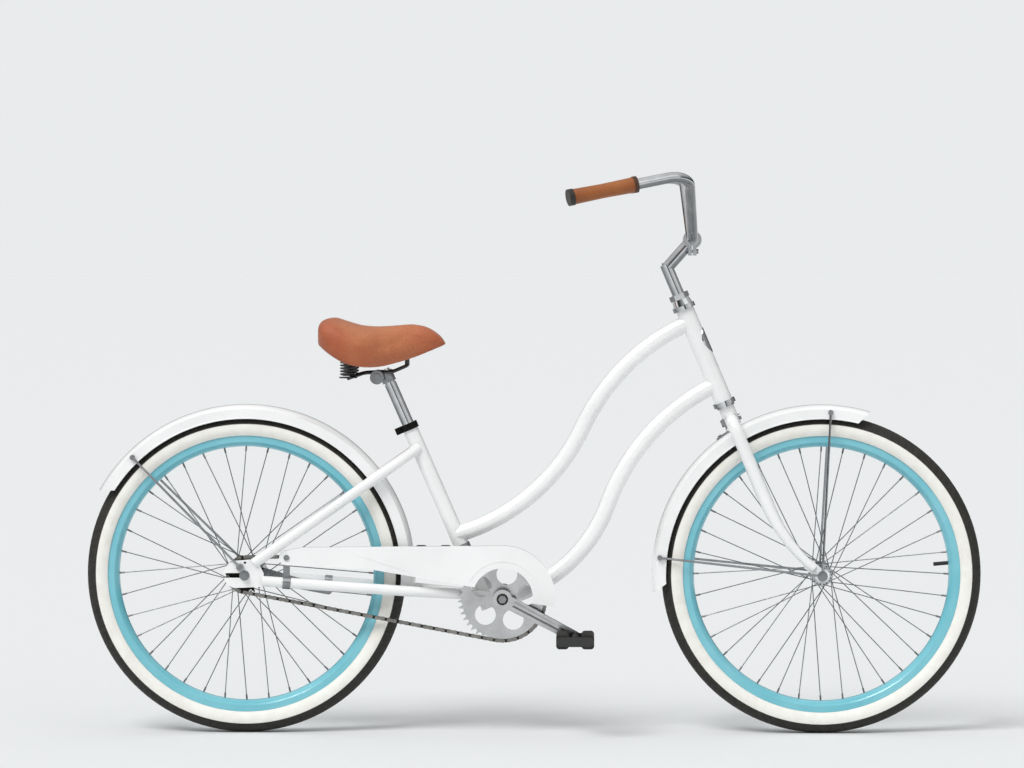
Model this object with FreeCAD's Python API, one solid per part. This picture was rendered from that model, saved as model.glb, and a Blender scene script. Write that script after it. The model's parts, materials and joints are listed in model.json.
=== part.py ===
"""Beach cruiser bicycle with a coaster brake, in millimetres.

X points forwards, Y to the rider's left and Z up. The origin is on the ground, midway between the two axles.
"""
import FreeCAD, Part
import math
import os
from FreeCAD import Rotation, Vector

# Clearances
overrun = 5.0
seat_gap = 0.3
running_gap = 0.05

# Wheels and tyres
wheelbase = 1197.4
tyre_radius = 332.0
tyre_width = 54.0
tyre_casing = 3.0
bead_depth = 8.0
bead_thickness = 3.2
tread_height = 20.0
whitewall_outer_radius = tyre_radius - tread_height
whitewall_rise = 0.6
tyre_height = 44.0
rim_edge_radius = tyre_radius - tyre_height
rim_depth = 23.5
rim_bottom_radius = rim_edge_radius - rim_depth
rim_width = 39.0
rim_wall = 2.0
rim_side_height = 13.0
valve_radius = 4.0
valve_length = 30.0
tube_wall = 1.6

fender_gap = 21.0
fender_radius = tyre_radius + fender_gap
fender_skirt_height = 28.0

# Spokes
spoke_count = 36
spoke_crosses = 3
spoke_radius = 1.0
spoke_hole_gap = 0.25
spoke_head_radius = 2.0
spoke_head_height = 1.0
outer_spoke_lift = 1.3
nipple_radius = 1.9
nipple_length = 13.0
nipple_hole_gap = 0.7
nipple_head_radius = 2.9
nipple_head_height = 1.6
nipple_head_gap = 0.95

# Hubs and axles
axle_radius = 4.75
flange_thickness = 3.0
flange_margin = 3.5
cone_radius = 9.0
locknut_radius = 7.0
locknut_length = 7.0
front_axle_gap = 100.0
front_hub_length = 82.0
front_hub_radius = 13.0
front_flange_spacing = 64.0
front_spoke_circle_radius = 20.0
rear_axle_gap = 116.0
rear_hub_radius = 20.0
rear_hub_right_end = 33.0
rear_hub_left_end = 37.0
rear_flange_right = 27.0
rear_flange_left = 29.0
rear_spoke_circle_radius = 27.0
rear_cone_inner = 30.0
rear_cone_outer = 49.0
front_cone_inner = 31.0
brake_cone_radius = 14.0
brake_cone_inner = 26.0
axle_nut_width = 15.0
axle_nut_height = 9.0
axle_washer_radius = 10.5
axle_washer_height = 1.6
axle_stub = 4.0

# Chain and sprockets
chain_pitch = 12.7
chain_links = 116
chainring_teeth = 44
sprocket_teeth = 18
chain_line = 43.0
roller_radius = 3.88
roller_seat_gap = 0.25
tooth_height = 4.2
tooth_tip_width = 2.2
tooth_thickness = 2.9
seat_half_angle = 62.0
link_inner_width = 3.4
link_plate = 1.1
link_plate_gap = 0.15
link_half_height = 4.1
link_waist_share = 0.78
link_pin_radius = 1.8
link_pin_gap = 0.15
link_pin_stub = 0.5
driver_radius = 14.0
driver_length = 26.0
dust_cap_radius = 17.5
dust_cap_thickness = 2.0

# Bottom bracket, cranks and pedals
bracket_drop = 48.0
bracket_radius = 21.0
bracket_bore_radius = 17.4
bracket_width = 68.0
cup_flange_radius = 20.0
cup_flange = 3.5
cup_depth = 20.0
spindle_radius = 8.5
spindle_square = 11.4
spindle_length = 140.0
spindle_round_length = 84.0
crank_length = 170.0
crank_angle = -27.5
crank_inner_face = 64.0
crank_thickness = 13.0
crank_hub_radius = 20.0
crank_root_radius = 14.0
crank_eye_radius = 11.5
crank_flute_radius = 17.0
crank_flute_start = 25.0
crank_flute_end = 26.0
crank_flute_root_depth = 2.8
crank_flute_tip_depth = 0.4
crank_bolt_radius = 7.5
crank_bolt_height = 4.0
crank_cap_radius = 12.0
crank_cap_height = 1.6
chainring_bore_radius = 16.0
chainring_hole_count = 5
chainring_hole_radius = 21.5
chainring_hole_circle = 50.0
chainring_hole_angle = 8.0
pedal_width = 78.0
pedal_span = 98.0
pedal_offset = 6.0
pedal_thickness = 30.0
pedal_plate = 3.0
pedal_plate_height = 20.0
pedal_barrel_radius = 9.5
pedal_spindle_radius = 6.0
pedal_thread_radius = 7.0
pedal_collar_radius = 9.5
pedal_collar_length = 4.5
pedal_cap_length = 5.0
pedal_block_width = 26.0
pedal_block_corner = 7.0
pedal_groove_count = 7
pedal_groove_width = 3.0
pedal_groove_depth = 2.0

# Frame
head_angle = 67.0
fork_rake = 47.0
crown_gap = 2.0
crown_bottom = fender_radius + crown_gap
head_tube_rise = 56.0
head_tube_bottom = crown_bottom + head_tube_rise
head_tube_length = 207.0
head_tube_radius = 19.0
head_tube_wall = 2.0
seat_angle = 66.3
seat_tube_setback = 36.6
seat_tube_top = 410.0
seat_tube_foot = 10.0
seat_tube_radius = 15.9
seat_slot_width = 2.4
seat_slot_length = 34.0
frame_tube_radius = 17.4
frame_tube_wall = 1.6
top_tube_rise = 157.0
top_tube_drop = 29.0
top_tube_bends = (26.4, 22.6, 18.4)
down_tube_drop = 4.0
down_tube_rise = 38.0
down_tube_bends = (31.2, 24.8, 19.2)
stay_radius = 11.0
stay_wall = 1.5
chainstay_root_spread = 22.5
chainstay_root_reach = 12.0
chainstay_straight_reach = 100.0
chainstay_flare_reach = 192.0
chainstay_flare_spread = 47.0
chainstay_bend_radius = 110.0
chainstay_end_reach = 36.0
chainstay_end_drop = 12.0
seatstay_end_reach = 20.0
seatstay_end_rise = 25.0
seatstay_join = 355.0
seatstay_join_spread = 10.0
seatstay_knee_share = 0.86
seatstay_knee_spread = 46.0
seatstay_bend_radius = 46.0
bridge_radius = 8.0
bridge_gap = 13.0
seatstay_bridge_reach = fender_radius + bridge_gap
dropout_thickness = 5.0
dropout_front = 40.0
dropout_rear = 42.0
dropout_top = 34.0
dropout_bottom = 26.0
dropout_shares = ((-0.43, -1.0), (0.95, -0.92), (1.0, 0.12), (0.62, 1.0), (-0.33, 0.91), (-0.86, 0.6), (-1.0, 0.09), (-0.9, -0.6))
dropout_slot_gap = 0.4
fender_eye_back = 9.0
fender_eye_rise = 17.0
fender_eye_radius = 2.6
rack_eye_forward = 1.0
rack_eye_rise = 26.5
badge_height = 56.0
badge_width = 34.0
badge_thickness = 1.4
badge_drop = 76.0
collar_wall = 3.2
collar_height = 14.0
collar_ear_length = 11.0
collar_ear_width = 16.0
collar_bolt_radius = 2.8
collar_bolt_head_radius = 4.6
collar_bolt_head_height = 4.0

# Headset
headset_cup_radius = 24.0
headset_cup_height = 9.0
headset_cup_spigot = 8.0
crown_race_radius = 19.5
crown_race_height = 4.0
headset_cone_height = 14.0
headset_cone_radius = 21.0
headset_nut_radius = 18.0
headset_nut_height = 11.0
headset_running_gap = 0.4

# Fork
steerer_radius = 14.3
steerer_bore_radius = 12.75
crown_radius = 16.5
blade_radius = 13.5
blade_wall = 1.6
blade_tip_radius = 8.5
blade_spread = 52.5
blade_shoulder_rise = 22.0
blade_shoulder = crown_bottom + blade_shoulder_rise
blade_knee_rise = 9.0
blade_knee = crown_bottom + blade_knee_rise
blade_knee_radius = 32.0
blade_bend_length = 177.0
blade_bend_start = crown_bottom - blade_bend_length
blade_end_share = 0.88
blade_station_count = 6
fork_tip_thickness = 5.0
fork_tip_radius = 15.0
fork_tip_neck = 22.0
fork_tip_length = 40.0
steerer_seat = 22.0

# Stem, handlebar and grips
quill_radius = 12.7
quill_length = 151.0
quill_show = 59.0
wedge_length = 26.0
wedge_top_radius = 10.0
wedge_foot_radius = 12.2
quill_cap = 8.0
stem_reach = 52.0
stem_rise = 59.0
stem_arm_radius = 12.4
stem_clamp_radius = 19.0
stem_clamp_width = 40.0
stem_slit = 2.5
stem_ear_length = 14.0
stem_ear_radius = 8.5
stem_bolt_radius = 3.0
stem_bolt_head_radius = 5.0
stem_bolt_head_height = 4.5
expander_bolt_radius = 4.0
expander_head_radius = 6.5
expander_head_height = 5.0
bar_radius = 11.1
bar_sleeve_radius = 12.7
bar_sleeve_length = 62.0
bar_wall = 2.0
bar_flat_half = 55.0
bar_bend_back = 13.0
bar_bend_spread = 256.0
bar_bend_rise = 135.0
bar_root_radius = 60.0
bar_bend_radius = 56.0
bar_end_back = 254.0
bar_end_spread = 329.0
bar_end_rise = 87.0
grip_length = 128.0
grip_radius = 15.8
grip_waist = 1.2
grip_ring_radius = 17.0
grip_ring_length = 8.0
grip_cap_thickness = 3.0

# Saddle and seat post
post_radius = 12.7
post_length = 300.0
post_exposed = 123.0
post_neck_radius = 11.1
post_neck_length = 32.0
saddle_clamp_back = 19.0
saddle_clamp_drop = 9.0
saddle_clamp_radius = 14.5
saddle_clamp_band = 3.6
saddle_clamp_band_width = 24.0
saddle_clamp_boss_radius = 9.0
saddle_clamp_disc = 14.0
saddle_bolt_radius = 4.0
saddle_bolt_nut_radius = 7.0
saddle_bolt_nut_height = 6.0
rail_radius = 3.5
rail_bend_radius = 16.0
rail_nose_reach = 62.0
rail_nose_rise = 24.0
rail_nose_spread = 14.0
rail_nose_radius = 9.0
rail_spread = 20.0
rail_front_reach = 34.0
rail_front_rise = 12.0
rail_rise = 9.0
rail_back_reach = 26.0
rail_spring_reach = 58.0
rail_spring_drop = 1.0
spring_spread = 62.0
spring_wire_radius = 2.0
spring_mean_radius = 15.0
spring_turns = 5
spring_height = 34.0
spring_seat_radius = 19.0
spring_seat_thickness = 2.4
saddle_back_reach = 121.0
saddle_length = 263.0
saddle_width = 236.0
saddle_rise = 21.5
saddle_height = 103.0
saddle_skirt = 13.0
saddle_recess_share = 0.3
saddle_pan_thickness = 3.0
nose_bolt_radius = 5.0
spring_bolt_radius = 5.0
spring_top_seat_radius = 17.0
saddle_station_shares = (0.0, 0.03, 0.12, 0.30, 0.50, 0.70, 0.86, 0.96, 1.0)
saddle_half_width_shares = (0.66, 0.80, 0.95, 0.98, 0.70, 0.42, 0.31, 0.22, 0.11)
saddle_top_shares = (0.88, 0.96, 1.0, 0.85, 0.82, 0.85, 0.81, 0.65, 0.52)
saddle_bottom_shares = (0.45, 0.38, 0.22, 0.03, 0.02, 0.14, 0.30, 0.41, 0.455)
saddle_shoulder_share = 0.72
saddle_side_share = 0.38
saddle_tuck_share = 0.86
saddle_crown_share = 0.13

# Fenders
fender_skirt_radius = fender_radius - fender_skirt_height
fender_width = 64.0
fender_sheet = 1.2
fender_crown_drop = 9.0
rear_fender_start = -5.0
rear_fender_end = 151.0
front_fender_start = 73.0
front_fender_end = 187.0
fender_end_slant = 4.0
fender_bead_radius = 1.8
fender_stay_radius = 2.5
fender_stay_seat_height = 15.0
fender_stay_seat_radius = fender_radius - fender_stay_seat_height
fender_stay_tab_radius = 5.5
fender_stay_tab = 5.0
rear_stay_angle = 134.0
front_stay_angles = (87.0, 174.0)
stay_eye_radius = 8.0
stay_eye_extra = 0.6
stay_knee_reach = 26.0
stay_knee_radius = 60.0
stay_bolt_radius = 2.5
stay_bolt_head_radius = 4.5
stay_bolt_head_height = 2.6
fender_bracket_thickness = 2.0
fender_bracket_width = 18.0
fender_bracket_foot = 26.0
crown_bolt_rise = 13.0
crown_bolt_height = crown_bottom + crown_bolt_rise
crown_bolt_radius = 3.0
crown_bolt_head_radius = 6.5
crown_bolt_head_height = 4.5

# Chain guard
guard_face = 60.0
guard_sheet = 1.3
guard_depth = 9.0
guard_outer_radius = 110.0
guard_inner_radius = 63.0
guard_front_angle = -9.0
guard_bottom_angle = 158.0
guard_top_rear_rise = 106.0
guard_end_radius = 15.5
guard_end_reach = 448.0
guard_end_rise = 84.5
guard_top_corner_reach = 415.0
guard_belly_reach = 270.0
guard_belly_rise = 60.0
guard_crease_radius = 78.0
guard_crease_half = 1.5
guard_crease_rise = 0.7
guard_fold_top_reach = 312.0
guard_fold_top_rise = 95.0
guard_fold_low_reach = 187.0
guard_fold_low_rise = 54.0
guard_screw_radius = 3.0
guard_screw_head_radius = 6.0
guard_screw_head_height = 2.0
guard_strap_width = 14.0
guard_strap_thickness = 2.0
guard_clip_width = 16.0
guard_clip_wall = 2.0

# Coaster brake arm
brake_arm_inner_face = 42.0
brake_arm_thickness = 3.5
brake_arm_hub_radius = 17.0
brake_arm_end_radius = 8.0
brake_arm_reach = 168.0
brake_clip_width = 15.0
brake_clip_wall = 2.0
brake_bolt_radius = 2.8
brake_bolt_head_radius = 5.0
brake_bolt_head_height = 3.5

# Directions and main points
stay_eye_thickness = 2 * fender_stay_radius + stay_eye_extra
along_y = Vector(0, 1, 0)
wheel_turn = Vector(0, -1, 0)
up = Vector(0, 0, 1)
rear_axle_at = Vector(-wheelbase / 2, 0, tyre_radius)
front_axle_at = Vector(wheelbase / 2, 0, tyre_radius)
head_lean = math.radians(head_angle)
steer_up = Vector(-math.cos(head_lean), 0, math.sin(head_lean))
steer_forward = Vector(math.sin(head_lean), 0, math.cos(head_lean))
steer_foot = front_axle_at - steer_forward * fork_rake
chainring_pitch_radius = chain_pitch / 2 / math.sin(math.pi / chainring_teeth)
sprocket_pitch_radius = chain_pitch / 2 / math.sin(math.pi / sprocket_teeth)


def links_at(distance):
    """Number of chain pitches that close the loop when the two sprockets are this far apart."""
    lean = math.asin((chainring_pitch_radius - sprocket_pitch_radius) / distance)
    on_ring = (math.pi + 2 * lean) / (2 * math.pi) * chainring_teeth
    on_sprocket = (math.pi - 2 * lean) / (2 * math.pi) * sprocket_teeth
    return on_ring + on_sprocket + 2 * distance * math.cos(lean) / chain_pitch


def solve_centre_distance():
    """Distance from bottom bracket to rear axle at which the chain is exactly tight, by halving."""
    short = chainring_pitch_radius + sprocket_pitch_radius
    long = chain_links * chain_pitch
    for _ in range(60):
        middle = (short + long) / 2
        if links_at(middle) < chain_links:
            short = middle
        else:
            long = middle
    return middle


centre_distance = solve_centre_distance()
bracket_at = rear_axle_at + Vector(math.sqrt(centre_distance ** 2 - bracket_drop ** 2), 0, -bracket_drop)
seat_lean = math.radians(seat_angle)
seat_up = Vector(-math.cos(seat_lean), 0, math.sin(seat_lean))
seat_back = Vector(-math.sin(seat_lean), 0, -math.cos(seat_lean))
seat_foot_at = bracket_at + seat_back * seat_tube_setback


def on_steer(along, forward=0, y=0):
    """Point at a height along the steering axis, counted from the front axle, and forward of it."""
    return steer_foot + steer_up * along + steer_forward * forward + along_y * y


def on_seat(along, back=0, y=0):
    """Point at a height along the seat tube's axis, counted from the bottom bracket, and behind it."""
    return seat_foot_at + seat_up * along + seat_back * back + along_y * y


def polar(centre, radius, degrees, y=0):
    """Point round an axle, with the angle counted up from the forward direction."""
    turn = math.radians(degrees)
    return Vector(centre.x + radius * math.cos(turn), y, centre.z + radius * math.sin(turn))


def rod(start, end, radius):
    """Round bar from one point to another."""
    return Part.makeCylinder(radius, (end - start).Length, start, end - start)


def taper(start, end, start_radius, end_radius):
    """Tapered round bar from one point to another."""
    return Part.makeCone(start_radius, end_radius, (end - start).Length, start, end - start)


def ring(start, end, outer, inner):
    """Round sleeve from one point to another."""
    return rod(start, end, outer).cut(rod(start, end, inner))


def crossbar(at, y_from, y_to, radius):
    """Round bar across the bicycle through a point of the side view."""
    return rod(Vector(at.x, y_from, at.z), Vector(at.x, y_to, at.z), radius)


def unit(vector):
    """The same direction at length one."""
    return vector / vector.Length


def joined(solids):
    """One solid made from several that overlap or touch."""
    return solids[0].fuse(solids[1:]).removeSplitter()


def hexagon(at, axis, width, height):
    """Hexagonal nut or bolt head, width across flats, standing on a point along an axis."""
    corner = width / math.sqrt(3)
    points = [Vector(corner * math.cos(k * math.pi / 3), corner * math.sin(k * math.pi / 3), 0) for k in range(6)]
    face = Part.Face(Part.makePolygon(points + points[:1]))
    prism = face.extrude(up * height)
    prism.rotate(Vector(), *axis_and_angle(axis))
    prism.translate(at)
    return prism


def axis_and_angle(direction):
    """Rotation, as an axis and degrees, that turns the vertical to a direction."""
    turn = Rotation(up, direction)
    return turn.Axis, math.degrees(turn.Angle)


def mirrored(shape):
    """The same piece on the other side of the bicycle."""
    return shape.mirror(Vector(), along_y)


def bent_path(points, radii):
    """Straight runs through the points, with each inner corner rounded by a tangent arc."""
    edges = []
    last = points[0]
    for before, corner, after, radius in zip(points, points[1:], points[2:], radii):
        back = unit(before - corner)
        onward = unit(after - corner)
        half = back.getAngle(onward) / 2
        middle = unit(back + onward)
        centre = corner + middle * (radius / math.sin(half))
        start = corner + back * (radius / math.tan(half))
        end = corner + onward * (radius / math.tan(half))
        edges.append(Part.LineSegment(last, start).toShape())
        edges.append(Part.Arc(start, centre - middle * radius, end).toShape())
        last = end
    edges.append(Part.LineSegment(last, points[-1]).toShape())
    return Part.Wire(edges)


def swept(path, radius):
    """Round section carried along a path."""
    first = path.OrderedEdges[0]
    start = first.valueAt(first.FirstParameter)
    circle = Part.makeCircle(radius, start, first.tangentAt(first.FirstParameter))
    return path.makePipe(Part.Face(Part.Wire(circle)))


def swept_tube(path, radius, wall):
    """Round tube carried along a path."""
    return swept(path, radius).cut(swept(path, radius - wall))


def s_curve(start, end, bends):
    """Two tangent arcs in the side view, bending up and then level, by degrees off the straight line between two points."""
    gap = end - start
    straight = math.degrees(math.atan2(gap.z, gap.x))
    slopes = (straight - bends[0], straight + bends[1], straight - bends[2])
    normals = [Vector(-math.sin(math.radians(s)), 0, math.cos(math.radians(s))) for s in slopes]
    first = normals[0] - normals[1]
    second = normals[2] - normals[1]
    cross = first.x * second.z - first.z * second.x
    first_radius = (gap.x * second.z - gap.z * second.x) / cross
    second_radius = (first.x * gap.z - first.z * gap.x) / cross
    first_centre = start + normals[0] * first_radius
    bend = first_centre - normals[1] * first_radius
    second_centre = bend - normals[1] * second_radius
    first_middle = first_centre - unit(normals[0] + normals[1]) * first_radius
    second_middle = second_centre + unit(normals[1] + normals[2]) * second_radius
    arcs = [Part.Arc(start, first_middle, bend).toShape(), Part.Arc(bend, second_middle, end).toShape()]
    return Part.Wire(arcs)


def outline(*items):
    """Closed wire from points, where a pair of points is an arc's middle and end."""
    edges = []
    last = items[0]
    for item in items[1:]:
        if isinstance(item, tuple):
            edges.append(Part.Arc(last, item[0], item[1]).toShape())
            last = item[1]
        else:
            edges.append(Part.LineSegment(last, item).toShape())
            last = item
    if (last - items[0]).Length > 1e-6:
        edges.append(Part.LineSegment(last, items[0]).toShape())
    return Part.Wire(edges)


def plate(wire, y_from, y_to):
    """Flat piece of the side view, from one distance across the bicycle to another."""
    solid = Part.Face(wire).extrude(along_y * (y_to - y_from))
    solid.translate(along_y * y_from)
    return solid


def turned(wire, centre, start=0, end=360):
    """Solid of revolution about an axle, from an outline drawn forward of it."""
    face = Part.Face(wire)
    face.rotate(centre, wheel_turn, start)
    return face.revolve(centre, wheel_turn, end - start)


def section_point(centre, radius, y):
    """Point of a wheel's section, drawn forward of its axle."""
    return Vector(centre.x + radius, y, centre.z)


def spun(shape, centre, count):
    """Copies of a shape spaced evenly round an axle."""
    copies = []
    for k in range(count):
        copy = shape.copy()
        copy.rotate(centre, wheel_turn, 360 * k / count)
        copies.append(copy)
    return copies


def save(name, *solids):
    """Write one node, made of one solid or of several separate ones."""
    shape = solids[0] if len(solids) == 1 else Part.makeCompound(list(solids))
    shape.exportStep("parts/" + name + ".step")


def make_tyre(centre):
    """Hollow balloon casing on two beads, with a raised white band on each side."""
    half = tyre_width / 2
    middle = tyre_radius - half
    edge = rim_edge_radius + seat_gap
    bead_outer = rim_width / 2 - rim_wall - seat_gap
    bead_inner = bead_outer - bead_thickness
    bead_bottom = rim_edge_radius - bead_depth
    hollow = half - tyre_casing
    hollow_start = middle - math.sqrt(hollow ** 2 - bead_inner ** 2)

    def at(radius, y):
        return section_point(centre, radius, y)

    def on_side(section, radius):
        return at(radius, math.sqrt(section ** 2 - (middle - radius) ** 2))

    wall = on_side(half, edge).y
    casing = turned(outline(
        at(edge, wall),
        (at(tyre_radius, 0), at(edge, -wall)),
        at(edge, -bead_outer),
        at(bead_bottom, -bead_outer),
        at(bead_bottom, -bead_inner),
        at(hollow_start, -bead_inner),
        (at(middle + hollow, 0), at(hollow_start, bead_inner)),
        at(bead_bottom, bead_inner),
        at(bead_bottom, bead_outer),
        at(edge, bead_outer)), centre)
    raised = half + whitewall_rise
    buried = half - tyre_casing / 2
    band = turned(outline(
        on_side(raised, edge),
        (on_side(raised, middle), on_side(raised, whitewall_outer_radius)),
        on_side(buried, whitewall_outer_radius),
        (on_side(buried, middle), on_side(buried, edge))), centre)
    return joined([casing, band, mirrored(band)])


def make_inner_tube(centre):
    """Inflated tube with its valve through the rim, half way between two spokes."""
    half = tyre_width / 2
    section = half - tyre_casing - seat_gap
    torus = Part.makeTorus(tyre_radius - half, section, centre, along_y)
    air = Part.makeTorus(tyre_radius - half, section - tube_wall, centre, along_y)
    valve_angle = 180 / spoke_count
    foot = polar(centre, tyre_radius - half - section + tube_wall / 2, valve_angle)
    end = polar(centre, rim_bottom_radius - valve_length, valve_angle)
    return joined([torus, rod(foot, end, valve_radius)]).cut(air)


def make_rim(centre):
    """Single-walled steel rim with a hole for each nipple and one for the valve."""
    half = rim_width / 2
    side = rim_edge_radius - rim_side_height

    def at(radius, y):
        return section_point(centre, radius, y)

    channel = turned(outline(
        at(rim_edge_radius, half),
        at(side, half),
        (at(rim_bottom_radius, 0), at(side, -half)),
        at(rim_edge_radius, -half),
        at(rim_edge_radius, rim_wall - half),
        at(side, rim_wall - half),
        (at(rim_bottom_radius + rim_wall, 0), at(side, half - rim_wall)),
        at(rim_edge_radius, half - rim_wall)), centre)
    low = rim_bottom_radius - overrun
    high = rim_bottom_radius + rim_wall + overrun
    hole = rod(polar(centre, low, 0), polar(centre, high, 0), nipple_radius + nipple_hole_gap)
    valve_angle = 180 / spoke_count
    valve_hole = rod(polar(centre, low, valve_angle), polar(centre, high, valve_angle), valve_radius + seat_gap)
    return channel.cut(spun(hole, centre, spoke_count) + [valve_hole])


def make_spoke(centre, circle_radius, flange, hole_angle, outside):
    """One bent spoke: head and elbow in the flange, shaft along it to the rim, nipple through the rim."""
    away = math.copysign(1, flange) if outside else -math.copysign(1, flange)
    lift = flange_thickness / 2 + spoke_radius + (outer_spoke_lift if outside else seat_gap)
    far_face = flange - away * flange_thickness / 2
    step = 2 * 360 / spoke_count
    rim_angle = hole_angle + spoke_crosses * step * (1 if outside else -1)
    elbow = polar(centre, circle_radius, hole_angle, flange + away * lift)
    head_foot = polar(centre, circle_radius, hole_angle, far_face)
    head_top = polar(centre, circle_radius, hole_angle, far_face - away * spoke_head_height)
    rim_middle = polar(centre, rim_bottom_radius + rim_wall / 2, rim_angle)
    along = unit(rim_middle - elbow)
    head_seat = rim_middle + along * (rim_wall / 2 + nipple_head_gap)
    end = head_seat + along * nipple_head_height
    return joined([
        rod(elbow, end, spoke_radius),
        Part.makeSphere(spoke_radius, elbow),
        rod(elbow, head_top, spoke_radius),
        rod(head_foot, head_top, spoke_head_radius),
        rod(head_seat - along * nipple_length, end, nipple_radius),
        rod(head_seat, end, nipple_head_radius)])


def make_spokes(centre, flanges, circle_radius):
    """All the spokes of a wheel, laced from two flanges, every other one crossing the other way."""
    solids = []
    step = 360 / spoke_count
    for side, flange in enumerate(flanges):
        for outside in (True, False):
            first = side * step + (0 if outside else 2 * step)
            one = make_spoke(centre, circle_radius, flange, first, outside)
            solids += spun(one, centre, spoke_count // 4)
    return solids


def make_hub(centre, right_end, left_end, flanges, body, bore, circle_radius):
    """Hub shell: a barrel with two drilled flanges and an open bore."""
    start = Vector(centre.x, -right_end, centre.z)
    end = Vector(centre.x, left_end, centre.z)
    pieces = [rod(start, end, body)]
    holes = [rod(start, end, bore)]
    half = flange_thickness / 2
    for side, flange in enumerate(flanges):
        pieces.append(crossbar(centre, flange - half, flange + half, circle_radius + flange_margin))
        at = polar(centre, circle_radius, side * 360 / spoke_count)
        hole = crossbar(at, flange - half - overrun, flange + half + overrun, spoke_radius + spoke_hole_gap)
        holes += spun(hole, centre, spoke_count // 2)
    return joined(pieces).cut(holes)


def make_axle(centre, end, stack):
    """Axle, and on each side its washer and nut outside a stack of clamped plates."""
    axle = crossbar(centre, -end, end, axle_radius)
    solids = [axle]
    for side in (-1, 1):
        foot = Vector(centre.x, side * stack, centre.z)
        top = foot + along_y * side * axle_washer_height
        washer = rod(foot, top, axle_washer_radius).cut(axle)
        nut = hexagon(top, along_y * side, axle_nut_width, axle_nut_height).cut(axle)
        solids += [washer, nut]
    return solids


def make_front_axle():
    """Front axle with two bearing cones, washers and nuts."""
    gap = front_axle_gap / 2
    stack = gap + fork_tip_thickness + 2 * stay_eye_thickness
    solids = make_axle(front_axle_at, stack + axle_washer_height + axle_nut_height + axle_stub, stack)
    for side in (-1, 1):
        inner = Vector(front_axle_at.x, side * front_cone_inner, front_axle_at.z)
        outer = Vector(front_axle_at.x, side * (gap - locknut_length), front_axle_at.z)
        end = Vector(front_axle_at.x, side * gap, front_axle_at.z)
        cone = joined([rod(inner, outer, cone_radius), rod(outer, end, locknut_radius)])
        solids.append(cone.cut(solids[0]))
    return solids


def make_rear_axle():
    """Rear axle with the driver's cone, the brake cone, lock nuts, washers and nuts."""
    gap = rear_axle_gap / 2
    stack = gap + dropout_thickness
    solids = make_axle(rear_axle_at, stack + axle_washer_height + axle_nut_height + axle_stub, stack)
    brake_arm_outer = brake_arm_inner_face + brake_arm_thickness
    cone = joined([
        crossbar(rear_axle_at, -rear_cone_outer, -rear_cone_inner, cone_radius),
        crossbar(rear_axle_at, -gap, -rear_cone_outer, locknut_radius)])
    brake_cone = crossbar(rear_axle_at, brake_cone_inner, brake_arm_inner_face, brake_cone_radius)
    locknut = crossbar(rear_axle_at, brake_arm_outer, gap, locknut_radius)
    return solids + [piece.cut(solids[0]) for piece in (cone, brake_cone, locknut)]


# Chain loop: straight upper run, round the sprocket, straight lower run, round the chainring
loop_slope = math.degrees(math.atan2(bracket_at.z - rear_axle_at.z, bracket_at.x - rear_axle_at.x))
loop_lean = math.degrees(math.asin((chainring_pitch_radius - sprocket_pitch_radius) / centre_distance))
upper_normal = loop_slope + 90 + loop_lean
lower_normal = loop_slope - 90 - loop_lean
run_links = centre_distance * math.cos(math.radians(loop_lean)) / chain_pitch
sprocket_links = (180 - 2 * loop_lean) / 360 * sprocket_teeth


def roller_at(count):
    """Place of a chain roller, counted in pitches from where the upper run leaves the chainring."""
    count = count % chain_links
    if count < run_links:
        start = polar(bracket_at, chainring_pitch_radius, upper_normal)
        end = polar(rear_axle_at, sprocket_pitch_radius, upper_normal)
        return start + unit(end - start) * (count * chain_pitch)
    count -= run_links
    if count < sprocket_links:
        return polar(rear_axle_at, sprocket_pitch_radius, upper_normal + count * 360 / sprocket_teeth)
    count -= sprocket_links
    if count < run_links:
        start = polar(rear_axle_at, sprocket_pitch_radius, lower_normal)
        end = polar(bracket_at, chainring_pitch_radius, lower_normal)
        return start + unit(end - start) * (count * chain_pitch)
    count -= run_links
    return polar(bracket_at, chainring_pitch_radius, lower_normal + count * 360 / chainring_teeth)


sprocket_gap_angle = upper_normal + (math.ceil(run_links) - run_links) * 360 / sprocket_teeth
ring_start = 2 * run_links + sprocket_links
chainring_gap_angle = lower_normal + (math.ceil(ring_start) - ring_start) * 360 / chainring_teeth


def make_link(inner):
    """One chain link lying along X: two plates with its two rollers, or with its two pins."""
    half = chain_pitch / 2
    near = link_inner_width / 2
    if not inner:
        near += link_plate + link_plate_gap
    far = near + link_plate
    high = link_half_height
    waist = high * link_waist_share
    wire = outline(
        Vector(-half, 0, high),
        (Vector(0, 0, waist), Vector(half, 0, high)),
        (Vector(half + high, 0, 0), Vector(half, 0, -high)),
        (Vector(0, 0, -waist), Vector(-half, 0, -high)),
        (Vector(-half - high, 0, 0), Vector(-half, 0, high)))
    pieces = [plate(wire, -far, -near), plate(wire, near, far)]
    ends = [Vector(-half, 0, 0), Vector(half, 0, 0)]
    if inner:
        pieces += [crossbar(end, -far, far, roller_radius) for end in ends]
        return joined(pieces).cut([crossbar(end, -far, far, link_pin_radius + link_pin_gap) for end in ends])
    reach = far + link_pin_stub
    return joined(pieces + [crossbar(end, -reach, reach, link_pin_radius) for end in ends])


def make_chain():
    """Closed loop of roller chain, inner and outer links in turn, in mesh with both sprockets."""
    kinds = [make_link(True), make_link(False)]
    links = []
    for k in range(chain_links):
        start = roller_at(k)
        end = roller_at(k + 1)
        link = kinds[k % 2].copy()
        link.rotate(Vector(), wheel_turn, math.degrees(math.atan2(end.z - start.z, end.x - start.x)))
        link.translate((start + end) / 2 - along_y * chain_line)
        links.append(link)
    return links


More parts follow.
